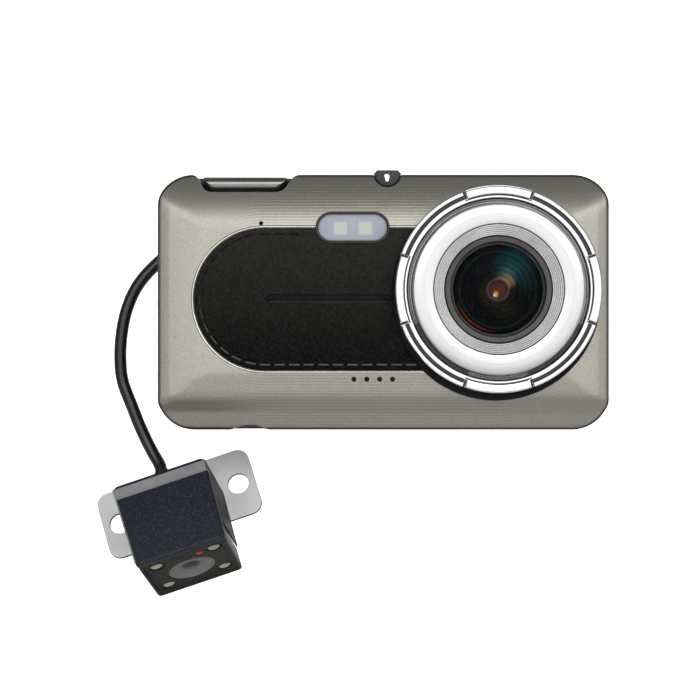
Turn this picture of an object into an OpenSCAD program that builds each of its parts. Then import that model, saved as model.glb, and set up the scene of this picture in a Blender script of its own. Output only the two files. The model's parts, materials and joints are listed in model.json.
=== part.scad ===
// Dash camera with a wired rear camera.
// The main unit stands upright with its lens facing -Y. The origin is the centre of the top of the
// windscreen bracket socket. The rear camera hangs below on its lead.

/* [Main unit] */
// Width of the main unit
body_w = 106; // [104:0.5:110]
// Height of the main unit
body_h = 60; // [60:0.5:64]
// Depth of the front shell, from the parting line to the front face
front_d = 8; // [8:0.5:9]
// Depth of the rear housing, from the parting line to the back
rear_d = 9; // [9:0.5:10]
// Radius of the corners seen from the front
corner_r = 8.5; // [7:0.5:10]
// Thickness of the plastic walls
wall = 1.6; // [1.4:0.1:1.8]

/* [Lens] */
// Distance of the lens axis to the right of the middle of the unit
lens_x = 26.5; // [26:0.1:27.5]
// Distance of the lens axis above the middle of the unit
lens_z = 2.8; // [2:0.1:4]
// Outer radius of the chrome ring
ring_r = 24; // [24:0.1:24.6]
// How far the ring stands in front of the parting line
ring_front = 13; // [12:0.5:14]

/* [Inlay and lamp] */
// Radius of the round left end of the leather inlay
inlay_r = 16.6; // [16:0.1:17]
// Distance from one stitch to the next
stitch_pitch = 3.4; // [3:0.1:4]
// Length of the lamp window
lamp_w = 16.1; // [15:0.1:17]
// Height of the lamp window
lamp_h = 6.2; // [6:0.1:6.5]

/* [Buttons] */
// Length of a side button
button_l = 5.2; // [5:0.1:5.6]
// Thickness of a side button, front to back
button_t = 2.6; // [2.4:0.1:2.8]
// How far a button stands out of the side
button_out = 0.6; // [0.5:0.1:0.8]

/* [Lead] */
// Diameter of the lead
lead_d = 3; // [2.8:0.1:3.2]
// Turns side by side in each layer of the coil
coil_rows = 6; // [6:1:6]
// Layers of the coil, front to back
coil_layers = 8; // [8:1:8]
// Diameter of the coil at the middle of its turns
coil_mid_d = 35; // [34:1:36]

/* [Rear camera] */
// Width of the rear camera's case
rear_w = 19.6; // [19:0.1:19.6]
// Height of the case, from its floor to the underside of the hood
rear_h = 22; // [21:0.5:22]
// Length of the case, from its back to its front window
rear_l = 19; // [18:0.5:19]
// Angle of the lens axis out of the vertical, towards the front
rear_lean = 25; // [20:1:30]
// Angle of the rear camera about the front-to-back axis
rear_roll = 18.7; // [10:0.1:20]
// Distance between the two holes of the bracket
bracket_pitch = 31; // [30:0.1:32]
// Diameter of the bracket's holes
bracket_hole_d = 5.3; // [5:0.1:5.5]

/* [Hidden] */
$fn = 64;

// Places on the main unit, measured from the middle of its front view
socket_x = 1;
socket_rise = 1;
lamp_x = -7.2;
lamp_z = 17.3;
mic_x = -28.5;
mic_z = 18.3;
inlay_x = -27.6;
inlay_z = 0.6;
card_x = -32.5;
bay_x = -32.5;
bay_floor = 25.9;
jack_x = 47.9;
jack_z = 16.5;
speaker_x = -2.5;
speaker_z = -18;
screw_x = 47.5;
screw_z = 24.5;
button_zs = [18.3, 9.3, 0.1, -9.3, -17.8];
board_posts = [[-42, 20], [-42, -20], [6, 22.5], [10, -22.5]];

// Depths, with the parting line at 0 and the front at negative Y
shell_edge_y = -3.2;
face_y = -front_d;
face_w = body_w - 15;
face_h = body_h - 22;
inner_face_y = face_y + wall;
recess_y = face_y + 0.7;
holder_y = -3.2;
board_y = 2.4;
board_t = 1.2;
glass_t = 1;
lcd_y = rear_d - wall;
glass_w = 90;
glass_h = 50;

// Rear camera, in its own frame: lens towards -Y, hood on top
rear_at = [-49.7, 8, -85];
pivot_y = 1;
pivot_z = -6;
plate_y = 12;
plate_z = -15;
plate_t = 1;
arm_x = 10.05;
arm_t = 0.7;
cap_w = 21.6;
cap_back_y = -5.1;
eye_z = -2;
gland_z = 4;
gland_tip = 14;
rear_front_y = -rear_l / 2;
hood_z = 12;

// Coil of spare lead behind the unit
coil_at = [-7, 12.5, -30.5];
coil_w = coil_rows * lead_d;
coil_t = coil_layers * lead_d;
coil_r = coil_mid_d / 2;

// Middle line of the lead from the rear camera to the coil
LOWER_ROUTE = [
    [-54.3, 10.3, -71.4], [-54.9, 11.1, -69.7], [-57, 12.2, -66.2], [-59.5, 13, -61.2],
    [-61.8, 13.5, -55.6], [-64, 14, -49.8], [-64.6, 14, -44.1], [-64.2, 14, -37.8],
    [-62.9, 14, -32], [-60.4, 14, -26.6], [-56.5, 14, -22], [-51, 14, -17.4],
    [-44, 14, -13.2], [-36, 14, -9.9], [-27.5, 14, -7.5], [-19, 14, -6.2], [-11.3, 14, -5.9]
];
// Middle line of the lead from the coil to its plug
UPPER_ROUTE = [
    [29, 12.2, -14.5], [25, 13, -13.8], [20, 16.5, -12], [14.5, 22.5, -9.4],
    [8.5, 29.5, -6.9], [3, 34.6, -5.8], [-0.5, 35, -6.3]
];

// ---- Helpers ----

module on_body() { translate([-socket_x, 0, -body_h / 2 - socket_rise]) children(); }

module on_lens() { on_body() translate([lens_x, 0, lens_z]) children(); }

module on_rear() { translate(rear_at) rotate([90 - rear_lean, -rear_roll, 0]) children(); }

function corner(cx, cz, r, a0, n = 8) =
    [for (i = [0:n]) [cx + r * cos(a0 + 90 * i / n), cz + r * sin(a0 + 90 * i / n)]];

function rounded(w, h, r) = concat(
    corner(w / 2 - r, h / 2 - r, r, 0), corner(r - w / 2, h / 2 - r, r, 90),
    corner(r - w / 2, r - h / 2, r, 180), corner(w / 2 - r, r - h / 2, r, 270));

// Extrudes an outline drawn in X and Z from y0 to y1
module along_y(y0, y1) { translate([0, y1, 0]) rotate([90, 0, 0]) linear_extrude(y1 - y0) children(); }

module plate(w, h, r, y0, y1) { along_y(y0, y1) polygon(rounded(w, h, r)); }

module rod(r, y0, y1) { translate([0, y1, 0]) rotate([90, 0, 0]) cylinder(r = r, h = y1 - y0); }

module tube(ro, ri, y0, y1) {
    difference() {
        rod(ro, y0, y1);
        rod(ri, y0 - 1, y1 + 1);
    }
}

module box(x0, x1, y0, y1, z0, z1) { translate([x0, y0, z0]) cube([x1 - x0, y1 - y0, z1 - z0]); }

// Spins a profile drawn as [radius, distance in front of the parting line] about the lens axis
module turned(points) { rotate([90, 0, 0]) rotate_extrude() polygon(points); }

function unit(v) = v / norm(v);

function heading(p, i) = unit(p[min(i + 1, len(p) - 1)] - p[max(i - 1, 0)]);

// One ring of the cord's skin at point i of route p
function skin_ring(p, i, r, n) =
    let (t = heading(p, i), u = unit(cross(t, [0, 1, 0.1])), v = cross(t, u))
    [for (k = [0:n - 1]) p[i] + r * (cos(360 * k / n) * u + sin(360 * k / n) * v)];

module cord(p, d, n = 8) {
    last = len(p) - 1;
    sides = [for (i = [0:last - 1], k = [0:n - 1])
        [i * n + k, i * n + (k + 1) % n, (i + 1) * n + (k + 1) % n, (i + 1) * n + k]];
    polyhedron(
        points = [for (i = [0:last]) each skin_ring(p, i, d / 2, n)],
        faces = concat([[for (k = [n - 1:-1:0]) k]], [[for (k = [0:n - 1]) last * n + k]], sides),
        convexity = 6);
}

// Outline of the leather inlay, grown by g: a round left end that runs on under the lens ring
module inlay_outline(g) {
    translate([inlay_x, inlay_z]) circle(inlay_r + g, $fn = 96);
    translate([inlay_x, inlay_z - inlay_r - g]) square([lens_x - inlay_x, 2 * (inlay_r + g)]);
}

module lamp_outline(g) {
    translate([lamp_x, lamp_z]) polygon(rounded(lamp_w + 2 * g, lamp_h + 2 * g, lamp_h / 2 + g - 0.01));
}

module bay_outline(g) {
    polygon([[bay_x - 11.5 - g, bay_floor + 5], [bay_x - 8.7 - g, bay_floor - g],
        [bay_x + 8.3 + g, bay_floor - g], [bay_x + 11.9 + g, bay_floor + 5]]);
}

module lug_outline(g) {
    translate([socket_x, body_h / 2]) {
        intersection() {
            translate([0, 0.35]) circle(3.15 + g);
            polygon([[-4, -4], [4, -4], [3.3 + g, 0], [2.4 + g, 1 + g], [-2.4 - g, 1 + g], [-3.3 - g, 0]]);
        }
    }
}

// ---- Main unit: casing ----

module front_posts() {
    for (p = board_posts) translate([p.x, 0, p.y]) tube(2, 0.75, -5.6, board_y - 0.02);
    for (sx = [-1, 1], sz = [-1, 1])
        translate([sx * screw_x, 0, sz * screw_z]) tube(2.2, 0.95, -3.6, -0.02);
}

module front_shell() {
    color([0.62, 0.60, 0.53]) on_body() {
        difference() {
            hull() {
                plate(body_w, body_h, corner_r, shell_edge_y, 0);
                plate(face_w, face_h, corner_r + 1.5, face_y, face_y + 0.1);
            }
            hull() {
                plate(body_w - 2 * wall, body_h - 2 * wall, corner_r - wall, -3, 0.1);
                plate(face_w - 3, face_h - 3, corner_r, inner_face_y, inner_face_y + 0.1);
            }
            translate([lens_x, 0, lens_z]) rod(ring_r + 0.1, -20, 1);
            along_y(-20, recess_y) inlay_outline(0.62);
            along_y(-20, 1) lamp_outline(0.62);
            translate([mic_x, 0, mic_z]) rod(0.5, -20, 0);
            for (i = [0:3]) translate([-6.9 + 3 * i, 0, speaker_z]) rod(0.6, -20, 0);
            along_y(-20, 1) bay_outline(0.15);
            along_y(-20, 1) lug_outline(0.15);
            translate([card_x + 1, 0, -body_h / 2 - 8.95]) rod(11.15, -20, 1);
        }
        front_posts();
    }
}

module rear_housing() {
    side = body_w / 2 - 0.2;
    color([0.12, 0.12, 0.12]) on_body() {
        difference() {
            hull() {
                plate(body_w - 0.4, body_h - 0.4, corner_r - 0.2, 0, 6.5);
                plate(body_w - 5, body_h - 5, corner_r - 2, rear_d - 0.1, rear_d);
            }
            plate(body_w - 0.4 - 2 * wall, body_h - 0.4 - 2 * wall, corner_r - 1.8, -1, lcd_y);
            plate(glass_w + 0.2, glass_h + 0.2, 2.1, rear_d - glass_t, rear_d + 1);
            plate(glass_w - 4, glass_h - 3, 1, 0, rear_d + 1);
            for (z = button_zs)
                box(-side - 1, 2 - side, 1.35, 1.65 + button_t, z - button_l / 2 - 0.15,
                    z + button_l / 2 + 0.15);
            box(card_x - 5.8, card_x + 5.8, 0.7, 2.1, -body_h / 2 - 1, wall - body_h / 2 + 1);
            along_y(-1, 5.65) bay_outline(0.15);
            box(socket_x - 7.15, socket_x + 7.15, -1, rear_d + 1, 25.45, body_h);
            translate([jack_x, 0, jack_z]) rod(2.65, 0, rear_d + 1);
            for (sx = [-1, 1], sz = [-1, 1])
                translate([sx * screw_x, 0, sz * screw_z]) rod(1.9, rear_d - 1.4, rear_d + 1);
            for (sx = [-1, 1], sz = [-1, 1]) translate([sx * screw_x, 0, sz * screw_z]) rod(1.1, 0, rear_d);
        }
        for (sx = [-1, 1], sz = [-1, 1])
            translate([sx * screw_x, 0, sz * screw_z]) tube(2.4, 1.1, 0.02, lcd_y + 0.1);
    }
}

module housing_screws() {
    color([0.25, 0.25, 0.26]) on_body()
        for (sx = [-1, 1], sz = [-1, 1]) translate([sx * screw_x, 0, sz * screw_z]) {
            rod(0.9, -3, rear_d - 1.2);
            difference() {
                rod(1.75, rear_d - 1.35, rear_d - 0.3);
                for (a = [0, 90]) rotate([0, a, 0]) box(-1.1, 1.1, rear_d - 0.8, rear_d, -0.2, 0.2);
            }
        }
}

module leather_inlay() {
    color([0.09, 0.09, 0.08]) on_body()
        difference() {
            along_y(face_y - 0.1, recess_y) inlay_outline(0);
            translate([lens_x, 0, lens_z]) rod(ring_r + 0.1, -20, 1);
            along_y(-20, 1) lamp_outline(0.62);
            box(-27.3, 1.9, face_y - 1, face_y + 0.2, 0, 1.7);
        }
}

module inlay_trim() {
    color([0.85, 0.85, 0.83]) on_body()
        difference() {
            along_y(face_y - 0.25, recess_y) inlay_outline(0.6);
            along_y(-20, 1) inlay_outline(0.02);
            translate([lens_x, 0, lens_z]) rod(ring_r + 0.1, -20, 1);
            along_y(-20, 1) lamp_outline(0.62);
        }
}

module stitch(x, z, a) {
    translate([x, 0, z]) rotate([0, -a, 0]) box(-1, 1, face_y - 0.3, face_y - 0.1, -0.2, 0.2);
}

module inlay_stitching() {
    r = inlay_r - 1.4;
    bends = floor(180 * r * PI / 180 / stitch_pitch);
    color([0.2, 0.2, 0.2]) on_body() {
        for (i = [1:bends - 1])
            stitch(inlay_x + r * cos(90 + 180 * i / bends), inlay_z + r * sin(90 + 180 * i / bends),
                180 * i / bends);
        for (i = [0:2]) stitch(inlay_x + stitch_pitch * i, inlay_z + r, 0);
        for (i = [0:10]) stitch(inlay_x + stitch_pitch * i, inlay_z - r, 0);
    }
}

module lamp_bezel() {
    color([0.6, 0.6, 0.6]) on_body()
        difference() {
            along_y(face_y - 0.2, inner_face_y) lamp_outline(0.6);
            along_y(-20, 1) lamp_outline(0);
        }
}

module lamp_window() {
    color([0.78, 0.82, 0.86]) on_body()
        along_y(face_y, inner_face_y) lamp_outline(-0.02);
}

module lamp_leds() {
    color([0.95, 0.9, 0.6]) on_body()
        for (x = [-10.1, -4.2]) box(x - 1.5, x + 1.5, -6.1, -5.47, lamp_z - 1.7, lamp_z + 1.3);
}

module lamp_board() {
    color([0.1, 0.35, 0.2]) on_body() box(lamp_x - 8, lamp_x + 8, -5.45, -4.65, lamp_z - 3, lamp_z + 3);
}

// ---- Lens ----

module wedge(a0, a1, r) {
    polygon(concat([[0, 0]], [for (i = [0:6]) [r * cos(a0 + (a1 - a0) * i / 6), r * sin(a0 + (a1 - a0) * i / 6)]]));
}

module lens_base_ring() {
    low = 1;
    color([0.85, 0.86, 0.88]) on_lens()
        difference() {
            tube(ring_r, 21.1, -ring_front, holder_y - 0.05);
            for (a = [0:90:270]) {
                along_y(-ring_front - 1, low - ring_front) wedge(a + 20, a + 70, 30);
                for (s = [20, 70]) rotate([0, -a - s, 0]) box(20, 30, -20, 1.6 - ring_front, -0.8, 0.8);
            }
        }
}

module lens_seal_ring() {
    color([0.15, 0.15, 0.16]) on_lens() tube(21, 20.05, -11, holder_y - 0.05);
}

module lens_face_ring() {
    front = ring_front + 1;
    back = 0.05 - holder_y;
    color([0.9, 0.9, 0.91]) on_lens()
        turned([[19.95, back], [19.95, front - 0.4], [19.5, front], [15, front], [15, front - 1.2],
            [17.9, front - 1.2], [17.9, back]]);
}

module lens_step_ring() {
    steps = 6;
    wide = (14.9 - 12.45) / steps;
    deep = 2.2 / steps;
    front = ring_front + 0.8;
    stairs = [for (i = [0:steps - 1], k = [0, 1]) [14.9 - wide * (i + k), front - deep * i]];
    color([0.75, 0.75, 0.76]) on_lens()
        turned(concat([[14.9, 10.6]], stairs, [[12.45, 10.6]]));
}

module lens_trim_ring() {
    color([0.4, 0.4, 0.42]) on_lens() tube(12.4, 10.95, -12.2, -10);
}

module lens_front_glass() {
    dome_r = 32;
    color([0.1, 0.13, 0.16]) on_lens()
        intersection() {
            rod(10.9, -14, -10.5);
            translate([0, dome_r - 12.9, 0]) sphere(dome_r, $fn = 96);
        }
}

module lens_inner_element() {
    color([0.25, 0.2, 0.35]) on_lens()
        intersection() {
            rod(4.6, -9, -6.6);
            translate([0, -0.2, 0]) sphere(8, $fn = 96);
        }
}

module lens_baffle() {
    color([0.06, 0.06, 0.06]) on_lens()
        turned([[10.3, 9.8], [10.3, 5], [9.6, 5], [9.6, 8.6], [5.4, 6.6], [5.4, 5.6], [4.7, 5.6], [4.7, 7.4], [9.4, 9.8]]);
}

module lens_barrel() {
    color([0.08, 0.08, 0.08]) on_lens() tube(12.4, 10.4, -9.9, holder_y - 0.05);
}

module lens_holder() {
    color([0.1, 0.1, 0.1]) on_lens()
        difference() {
            union() {
                rod(ring_r - 0.2, holder_y, -1.8);
                box(-9, 9, -1.9, 1, -9, 9);
            }
            rod(5, -10, 0.25);
            box(-4, 4, 0.2, 2, -4, 4);
        }
}

module image_sensor() {
    color([0.3, 0.35, 0.45]) on_lens() box(-3.2, 3.2, 0.3, 1.02, -2.6, 2.6);
}

module sensor_board() {
    color([0.1, 0.35, 0.2]) on_lens() box(-10, 10, 1.05, 2.05, -10, 10);
}

// ---- Sockets and ports ----

module sight_hole() {
    along_y(-20, 3) hull() {
        translate([socket_x - 0.1, 29.75]) circle(0.65);
        translate([socket_x - 0.1, 28.65]) circle(0.35);
    }
}

module bracket_socket() {
    top = body_h / 2;
    color([0.1, 0.1, 0.11]) on_body() {
        difference() {
            along_y(-4.4, 0.35) lug_outline(0);
            sight_hole();
        }
        difference() {
            box(socket_x - 7, socket_x + 7, 0.3, rear_d - 0.1, 25.6, top);
            box(socket_x - 1.8, socket_x + 1.8, 2, rear_d + 1, 26.4, top + 2);
            box(socket_x - 3.5, socket_x + 3.5, 2, rear_d + 1, 26.4, 28);
            sight_hole();
        }
    }
}

module port_bay() {
    color([0.07, 0.07, 0.07]) on_body()
        difference() {
            along_y(-3.4, 5.5) bay_outline(0);
            box(bay_x - 15, bay_x + 15, -5, 8, body_h / 2 - 0.5, body_h);
            box(bay_x - 3.95, bay_x + 3.95, -0.55, 3.55, 20, 40);
        }
}

module usb_socket() {
    color([0.75, 0.76, 0.78]) on_body()
        difference() {
            box(bay_x - 3.85, bay_x + 3.85, -0.45, board_y - 0.02, 21, 29);
            box(bay_x - 3.45, bay_x + 3.45, -0.05, board_y - 0.42, 22, 30);
        }
}

module av_socket() {
    color([0.12, 0.12, 0.12]) on_body() translate([jack_x, 0, jack_z]) tube(2.6, 1.3, -1.5, rear_d);
}

// ---- Buttons ----

module side_button(z, shade) {
    side = body_w / 2 - 0.2;
    color(shade) on_body() {
        box(-side - 0.2 - button_out, 2 - side, 1.5, 1.5 + button_t, z - button_l / 2, z + button_l / 2);
        box(wall + 0.05 - side, 2.2 - side, 1.05, 1.95 + button_t, z - button_l / 2 - 0.5, z + button_l / 2 + 0.5);
        box(2.1 - side, 2.9 - side, 2, 3.6, z - 0.8, z + 0.8);
    }
}

module power_button() { side_button(button_zs[0], [0.6, 0.6, 0.58]); }

module menu_button() { side_button(button_zs[1], [0.15, 0.15, 0.15]); }

module up_button() { side_button(button_zs[2], [0.15, 0.15, 0.15]); }

module ok_button() { side_button(button_zs[3], [0.15, 0.15, 0.15]); }

module down_button() { side_button(button_zs[4], [0.15, 0.15, 0.15]); }

module button_switches() {
    color([0.8, 0.8, 0.8]) on_body() for (z = button_zs) box(-49.4, -48.25, 1.3, 4.3, z - 1.6, z + 1.6);
}

module key_board() {
    color([0.1, 0.35, 0.2]) on_body() box(-48.2, -47.4, 0.6, 4.6, -21.5, 21.5);
}

// ---- Display ----

module display_glass() {
    color([0.03, 0.03, 0.04]) on_body() plate(glass_w, glass_h, 2, rear_d - glass_t + 0.02, rear_d);
}

module display_panel() {
    color([0.2, 0.22, 0.24]) on_body() plate(88, 48.8, 0.5, 5.1, lcd_y - 0.05);
}

module display_backlight() {
    color([0.85, 0.85, 0.85]) on_body() plate(88, 48.8, 0.5, 4.3, 5.05);
}

// ---- Electronics ----

module main_board() {
    color([0.1, 0.35, 0.2]) on_body()
        difference() {
            plate(88, 47.6, 1, board_y, board_y + board_t);
            for (p = board_posts) translate([p.x, 0, p.y]) rod(0.8, 0, 10);
        }
}

module board_screws() {
    color([0.5, 0.5, 0.5]) on_body() for (p = board_posts) translate([p.x, 0, p.y]) {
        rod(0.7, -2, 3.65);
        rod(1.4, board_y + board_t + 0.02, 4.15);
    }
}

module processor() {
    color([0.1, 0.1, 0.12]) on_body() box(-9, 5, 1.3, board_y - 0.02, -7, 7);
}

module battery() {
    color([0.75, 0.75, 0.78]) on_body() plate_at(-24, 2, 30, 20, 1.5, -5.6, -0.6);
}

module plate_at(x, z, w, h, r, y0, y1) { translate([x, 0, z]) plate(w, h, r, y0, y1); }

module speaker() {
    color([0.2, 0.2, 0.2]) on_body() plate_at(speaker_x, speaker_z, 16, 9, 2, -4.7, -1.4);
}

module microphone() {
    color([0.7, 0.7, 0.6]) on_body() translate([mic_x, 0, mic_z]) rod(2, -5.4, -3.5);
}

module card_socket() {
    color([0.75, 0.76, 0.78]) on_body()
        difference() {
            box(card_x - 7, card_x + 7, 0.5, board_y - 0.02, -28, -13);
            box(card_x - 5.6, card_x + 5.6, 0.9, 1.9, -29, -14.2);
        }
}

module memory_card() {
    color([0.12, 0.12, 0.14]) on_body() box(card_x - 5.5, card_x + 5.5, 1, 1.8, -29.5, -14.5);
}

// ---- Lead ----

module av_plug() {
    color([0.08, 0.08, 0.08]) on_body() translate([jack_x, 0, jack_z]) {
        rod(1.25, 0, rear_d + 0.2);
        rod(3.2, rear_d + 0.1, 15.4);
        translate([0, 12.2, 0]) rotate([0, -90, 0]) cylinder(r = 2.8, h = 12);
        translate([-12, 12.2, 0]) rotate([0, -90, 0]) cylinder(r1 = 2.4, r2 = 1.8, h = 5.9);
    }
}

module lead_upper() { color([0.05, 0.05, 0.05]) cord(UPPER_ROUTE, lead_d); }

module lead_lower() { color([0.05, 0.05, 0.05]) cord(LOWER_ROUTE, lead_d); }

module lead_coil() {
    color([0.05, 0.05, 0.05]) translate([coil_at.x, 0, coil_at.z])
        tube(coil_r + coil_w / 2, coil_r - coil_w / 2, coil_at.y, coil_at.y + coil_t);
}

module coil_ties() {
    gap = 0.1;
    color([0.2, 0.2, 0.2]) translate([coil_at.x, coil_at.y, coil_at.z])
        for (a = [-35, 215]) rotate([0, -a, 0]) translate([coil_r, 0, 0])
            difference() {
                box(-coil_w / 2 - 1.1, coil_w / 2 + 1.4, -1, coil_t + 1, -3, 3);
                box(-coil_w / 2 - gap - 0.5, coil_w / 2 + gap + 0.3, -gap, coil_t + gap, -4, 4);
            }
}

// ---- Rear camera ----

module rear_case() {
    color([0.2, 0.2, 0.22]) on_rear()
        difference() {
            translate([0, 0, -12 + rear_h / 2]) plate(rear_w, rear_h, 1.2, cap_back_y + 0.05, rear_l / 2);
            translate([0, 0, -12 + rear_h / 2])
                plate(rear_w - 2.8, rear_h - 2.8, 0.6, cap_back_y - 1, rear_l / 2 - 1.5);
            translate([0, 0, gland_z]) rod(1.9, 0, 20);
            translate([-20, pivot_y, pivot_z]) rotate([0, 90, 0]) cylinder(r = 0.9, h = 40);
        }
}

module rear_hood() {
    inner = 11;
    outer = 11.6;
    low = -11.5;
    under = rear_h - 11.95;
    top = [[-outer, under], [-outer, hood_z - 1], [1 - outer, hood_z],
        [outer - 1, hood_z], [outer, hood_z - 1], [outer, under]];
    color([0.08, 0.09, 0.12]) on_rear() {
        along_y(rear_front_y - 0.9, rear_l / 2 + 1.2) polygon(top);
        for (s = [-1, 1]) scale([s, 1, 1])
            box(inner, outer, cap_back_y + 0.1, rear_l / 2 + 1.2, low, under + 0.1);
    }
}

module rear_front_window() {
    color([0.25, 0.25, 0.28]) on_rear() translate([0, 0, -12 + rear_h / 2])
        difference() {
            plate(cap_w, rear_h, 1.2, rear_front_y - 1.15, cap_back_y);
            plate(cap_w - 2.4, rear_h - 2.4, 0.6, rear_front_y - 0.65, cap_back_y + 1);
        }
}

module rear_lens_ring() {
    color([0.45, 0.45, 0.47]) on_rear() translate([0, 0, eye_z])
        tube(5.75, 3.9, rear_front_y - 0.55, rear_front_y + 4);
}

module rear_lens_glass() {
    color([0.1, 0.1, 0.15]) on_rear() translate([0, 0, eye_z])
        intersection() {
            rod(3.85, rear_front_y - 0.5, rear_front_y + 3);
            translate([0, rear_front_y + 7.6, 0]) sphere(8, $fn = 96);
        }
}

module rear_leds() {
    color([0.95, 0.92, 0.8]) on_rear()
        for (x = [-7.1, 7.1], z = [-7.9, 5.9])
            translate([x, 0, z]) rod(1.6, rear_front_y - 0.5, rear_front_y + 3);
}

module rear_light_sensor() {
    color([0.8, 0.1, 0.1]) on_rear() translate([3.4, 0, 5.6]) rod(1.1, rear_front_y - 0.5, rear_front_y + 3);
}

module rear_sensor_board() {
    color([0.1, 0.35, 0.2]) on_rear() box(-8, 8, rear_front_y + 4.05, rear_front_y + 5.05, -10.3, 8);
}

module rear_gland() {
    color([0.06, 0.06, 0.06]) on_rear() translate([0, 0, gland_z]) {
        rod(1.85, 4, rear_l / 2 + 0.1);
        rod(2.6, rear_l / 2 + 0.05, rear_l / 2 + 2);
        translate([0, rear_l / 2 + 2, 0]) rotate([-90, 0, 0])
            cylinder(r1 = 2.2, r2 = 1.7, h = gland_tip - rear_l / 2 - 2);
    }
}

module rear_bracket() {
    half = bracket_pitch / 2;
    long = 39.6;
    tall = 17.6;
    color([0.78, 0.78, 0.82]) on_rear()
        difference() {
            union() {
                translate([0, plate_y, plate_z]) linear_extrude(plate_t) polygon(rounded(long, tall, 3));
                for (s = [-1, 1]) scale([s, 1, 1])
                    box(arm_x, arm_x + arm_t, -2.5, 14, plate_z + 0.1, pivot_z + 3.5);
            }
            for (s = [-1, 1]) translate([s * half, plate_y, plate_z - 1])
                cylinder(d = bracket_hole_d, h = plate_t + 2);
            translate([-20, pivot_y, pivot_z]) rotate([0, 90, 0]) cylinder(r = 1.1, h = 40);
        }
}

module rear_pivot_pins() {
    color([0.5, 0.5, 0.52]) on_rear() for (s = [0, 1]) mirror([s, 0, 0])
        translate([0, pivot_y, pivot_z]) rotate([0, 90, 0]) {
            translate([0, 0, 7.5]) cylinder(r = 0.85, h = 3);
            translate([0, 0, rear_w / 2 + 0.05]) cylinder(r = 1.05, h = 1.05);
        }
}

front_shell();
rear_housing();
leather_inlay();
inlay_trim();
inlay_stitching();
lamp_bezel();
lamp_window();
lamp_leds();
lamp_board();
lens_base_ring();
lens_seal_ring();
lens_face_ring();
lens_step_ring();
lens_trim_ring();
lens_front_glass();
lens_inner_element();
lens_baffle();
lens_barrel();
lens_holder();
image_sensor();
sensor_board();
bracket_socket();
port_bay();
usb_socket();
av_socket();
power_button();
menu_button();
up_button();
ok_button();
down_button();
button_switches();
key_board();
display_glass();
display_panel();
display_backlight();
main_board();
processor();
battery();
speaker();
microphone();
card_socket();
memory_card();
housing_screws();
board_screws();
av_plug();
lead_upper();
lead_coil();
lead_lower();
coil_ties();
rear_case();
rear_hood();
rear_front_window();
rear_lens_ring();
rear_lens_glass();
rear_leds();
rear_light_sensor();
rear_sensor_board();
rear_gland();
rear_bracket();
rear_pivot_pins();
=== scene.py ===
"""Looks of the dash camera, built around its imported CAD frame. Lengths are in metres."""
import json
import math

import bmesh
import bpy
from mathutils import Matrix, Vector


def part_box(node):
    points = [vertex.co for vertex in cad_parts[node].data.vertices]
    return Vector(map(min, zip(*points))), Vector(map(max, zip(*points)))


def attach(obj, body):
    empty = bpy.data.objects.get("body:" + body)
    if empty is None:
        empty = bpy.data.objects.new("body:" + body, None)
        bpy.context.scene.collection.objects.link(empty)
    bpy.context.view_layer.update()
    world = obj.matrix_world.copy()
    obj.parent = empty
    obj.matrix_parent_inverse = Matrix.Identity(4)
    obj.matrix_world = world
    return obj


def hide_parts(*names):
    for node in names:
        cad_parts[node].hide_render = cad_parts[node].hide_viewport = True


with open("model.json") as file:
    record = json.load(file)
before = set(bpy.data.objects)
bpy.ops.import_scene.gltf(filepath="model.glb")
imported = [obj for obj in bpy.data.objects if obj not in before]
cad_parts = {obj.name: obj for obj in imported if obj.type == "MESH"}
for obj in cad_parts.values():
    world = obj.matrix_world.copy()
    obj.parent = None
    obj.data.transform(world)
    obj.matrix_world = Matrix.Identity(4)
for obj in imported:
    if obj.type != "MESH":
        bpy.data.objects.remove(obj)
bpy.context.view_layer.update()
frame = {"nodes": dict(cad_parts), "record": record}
MM = 0.001
NODES = frame["nodes"]

# ---- Places: the shell's and lens's middles worked out from the frame, the rest given ----

SHELL_LO, SHELL_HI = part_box("front_shell")
MID = Vector(((SHELL_LO.x + SHELL_HI.x) / 2, 0, (SHELL_LO.z + SHELL_HI.z) / 2)) / MM
RING_LO, RING_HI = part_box("lens_base_ring")
LENS = Vector(((RING_LO.x + RING_HI.x) / 2, 0, (RING_LO.z + RING_HI.z) / 2)) / MM - MID
BODY_W, BODY_H, CORNER = 106, 60, 8.5
FACE_Y = -8
REAR_D = 9
INLAY_X, INLAY_Z, INLAY_R = -27.6, 0.6, 16.6
LAMP_X, LAMP_Z, LAMP_W, LAMP_H = -7.2, 17.3, 16.1, 6.2
BUTTON_ZS = (18.3, 9.3, 0.1, -9.3, -17.8)
REAR_AT = Vector((-49.7, 8, -85))
REAR_LEAN, REAR_ROLL = 25, 18.7
REAR = Matrix.Translation(REAR_AT) @ Matrix.Rotation(math.radians(-REAR_ROLL), 4, "Y") \
    @ Matrix.Rotation(math.radians(90 - REAR_LEAN), 4, "X")
ON_BODY = Matrix.Translation(MID)
ON_LENS = Matrix.Translation(MID + LENS)

# ---- Mesh helpers: they take millimetres and give pieces in metres ----


def piece(name, verts, faces, mat, at=ON_BODY, stands_for=(), body="root", smooth=True, sharp=35):
    """A mesh object from points in millimetres, riding on a body."""
    mesh = bpy.data.meshes.new(name)
    mesh.from_pydata([(at @ Vector(v)) * MM for v in verts], [], faces)
    bm = bmesh.new()
    bm.from_mesh(mesh)
    bmesh.ops.remove_doubles(bm, verts=bm.verts, dist=1e-7)
    bmesh.ops.recalc_face_normals(bm, faces=bm.faces)
    bm.to_mesh(mesh)
    bm.free()
    obj = bpy.data.objects.new(name, mesh)
    bpy.context.scene.collection.objects.link(obj)
    mesh.materials.append(mat)
    return settle(obj, stands_for, body, smooth, sharp)


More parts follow.
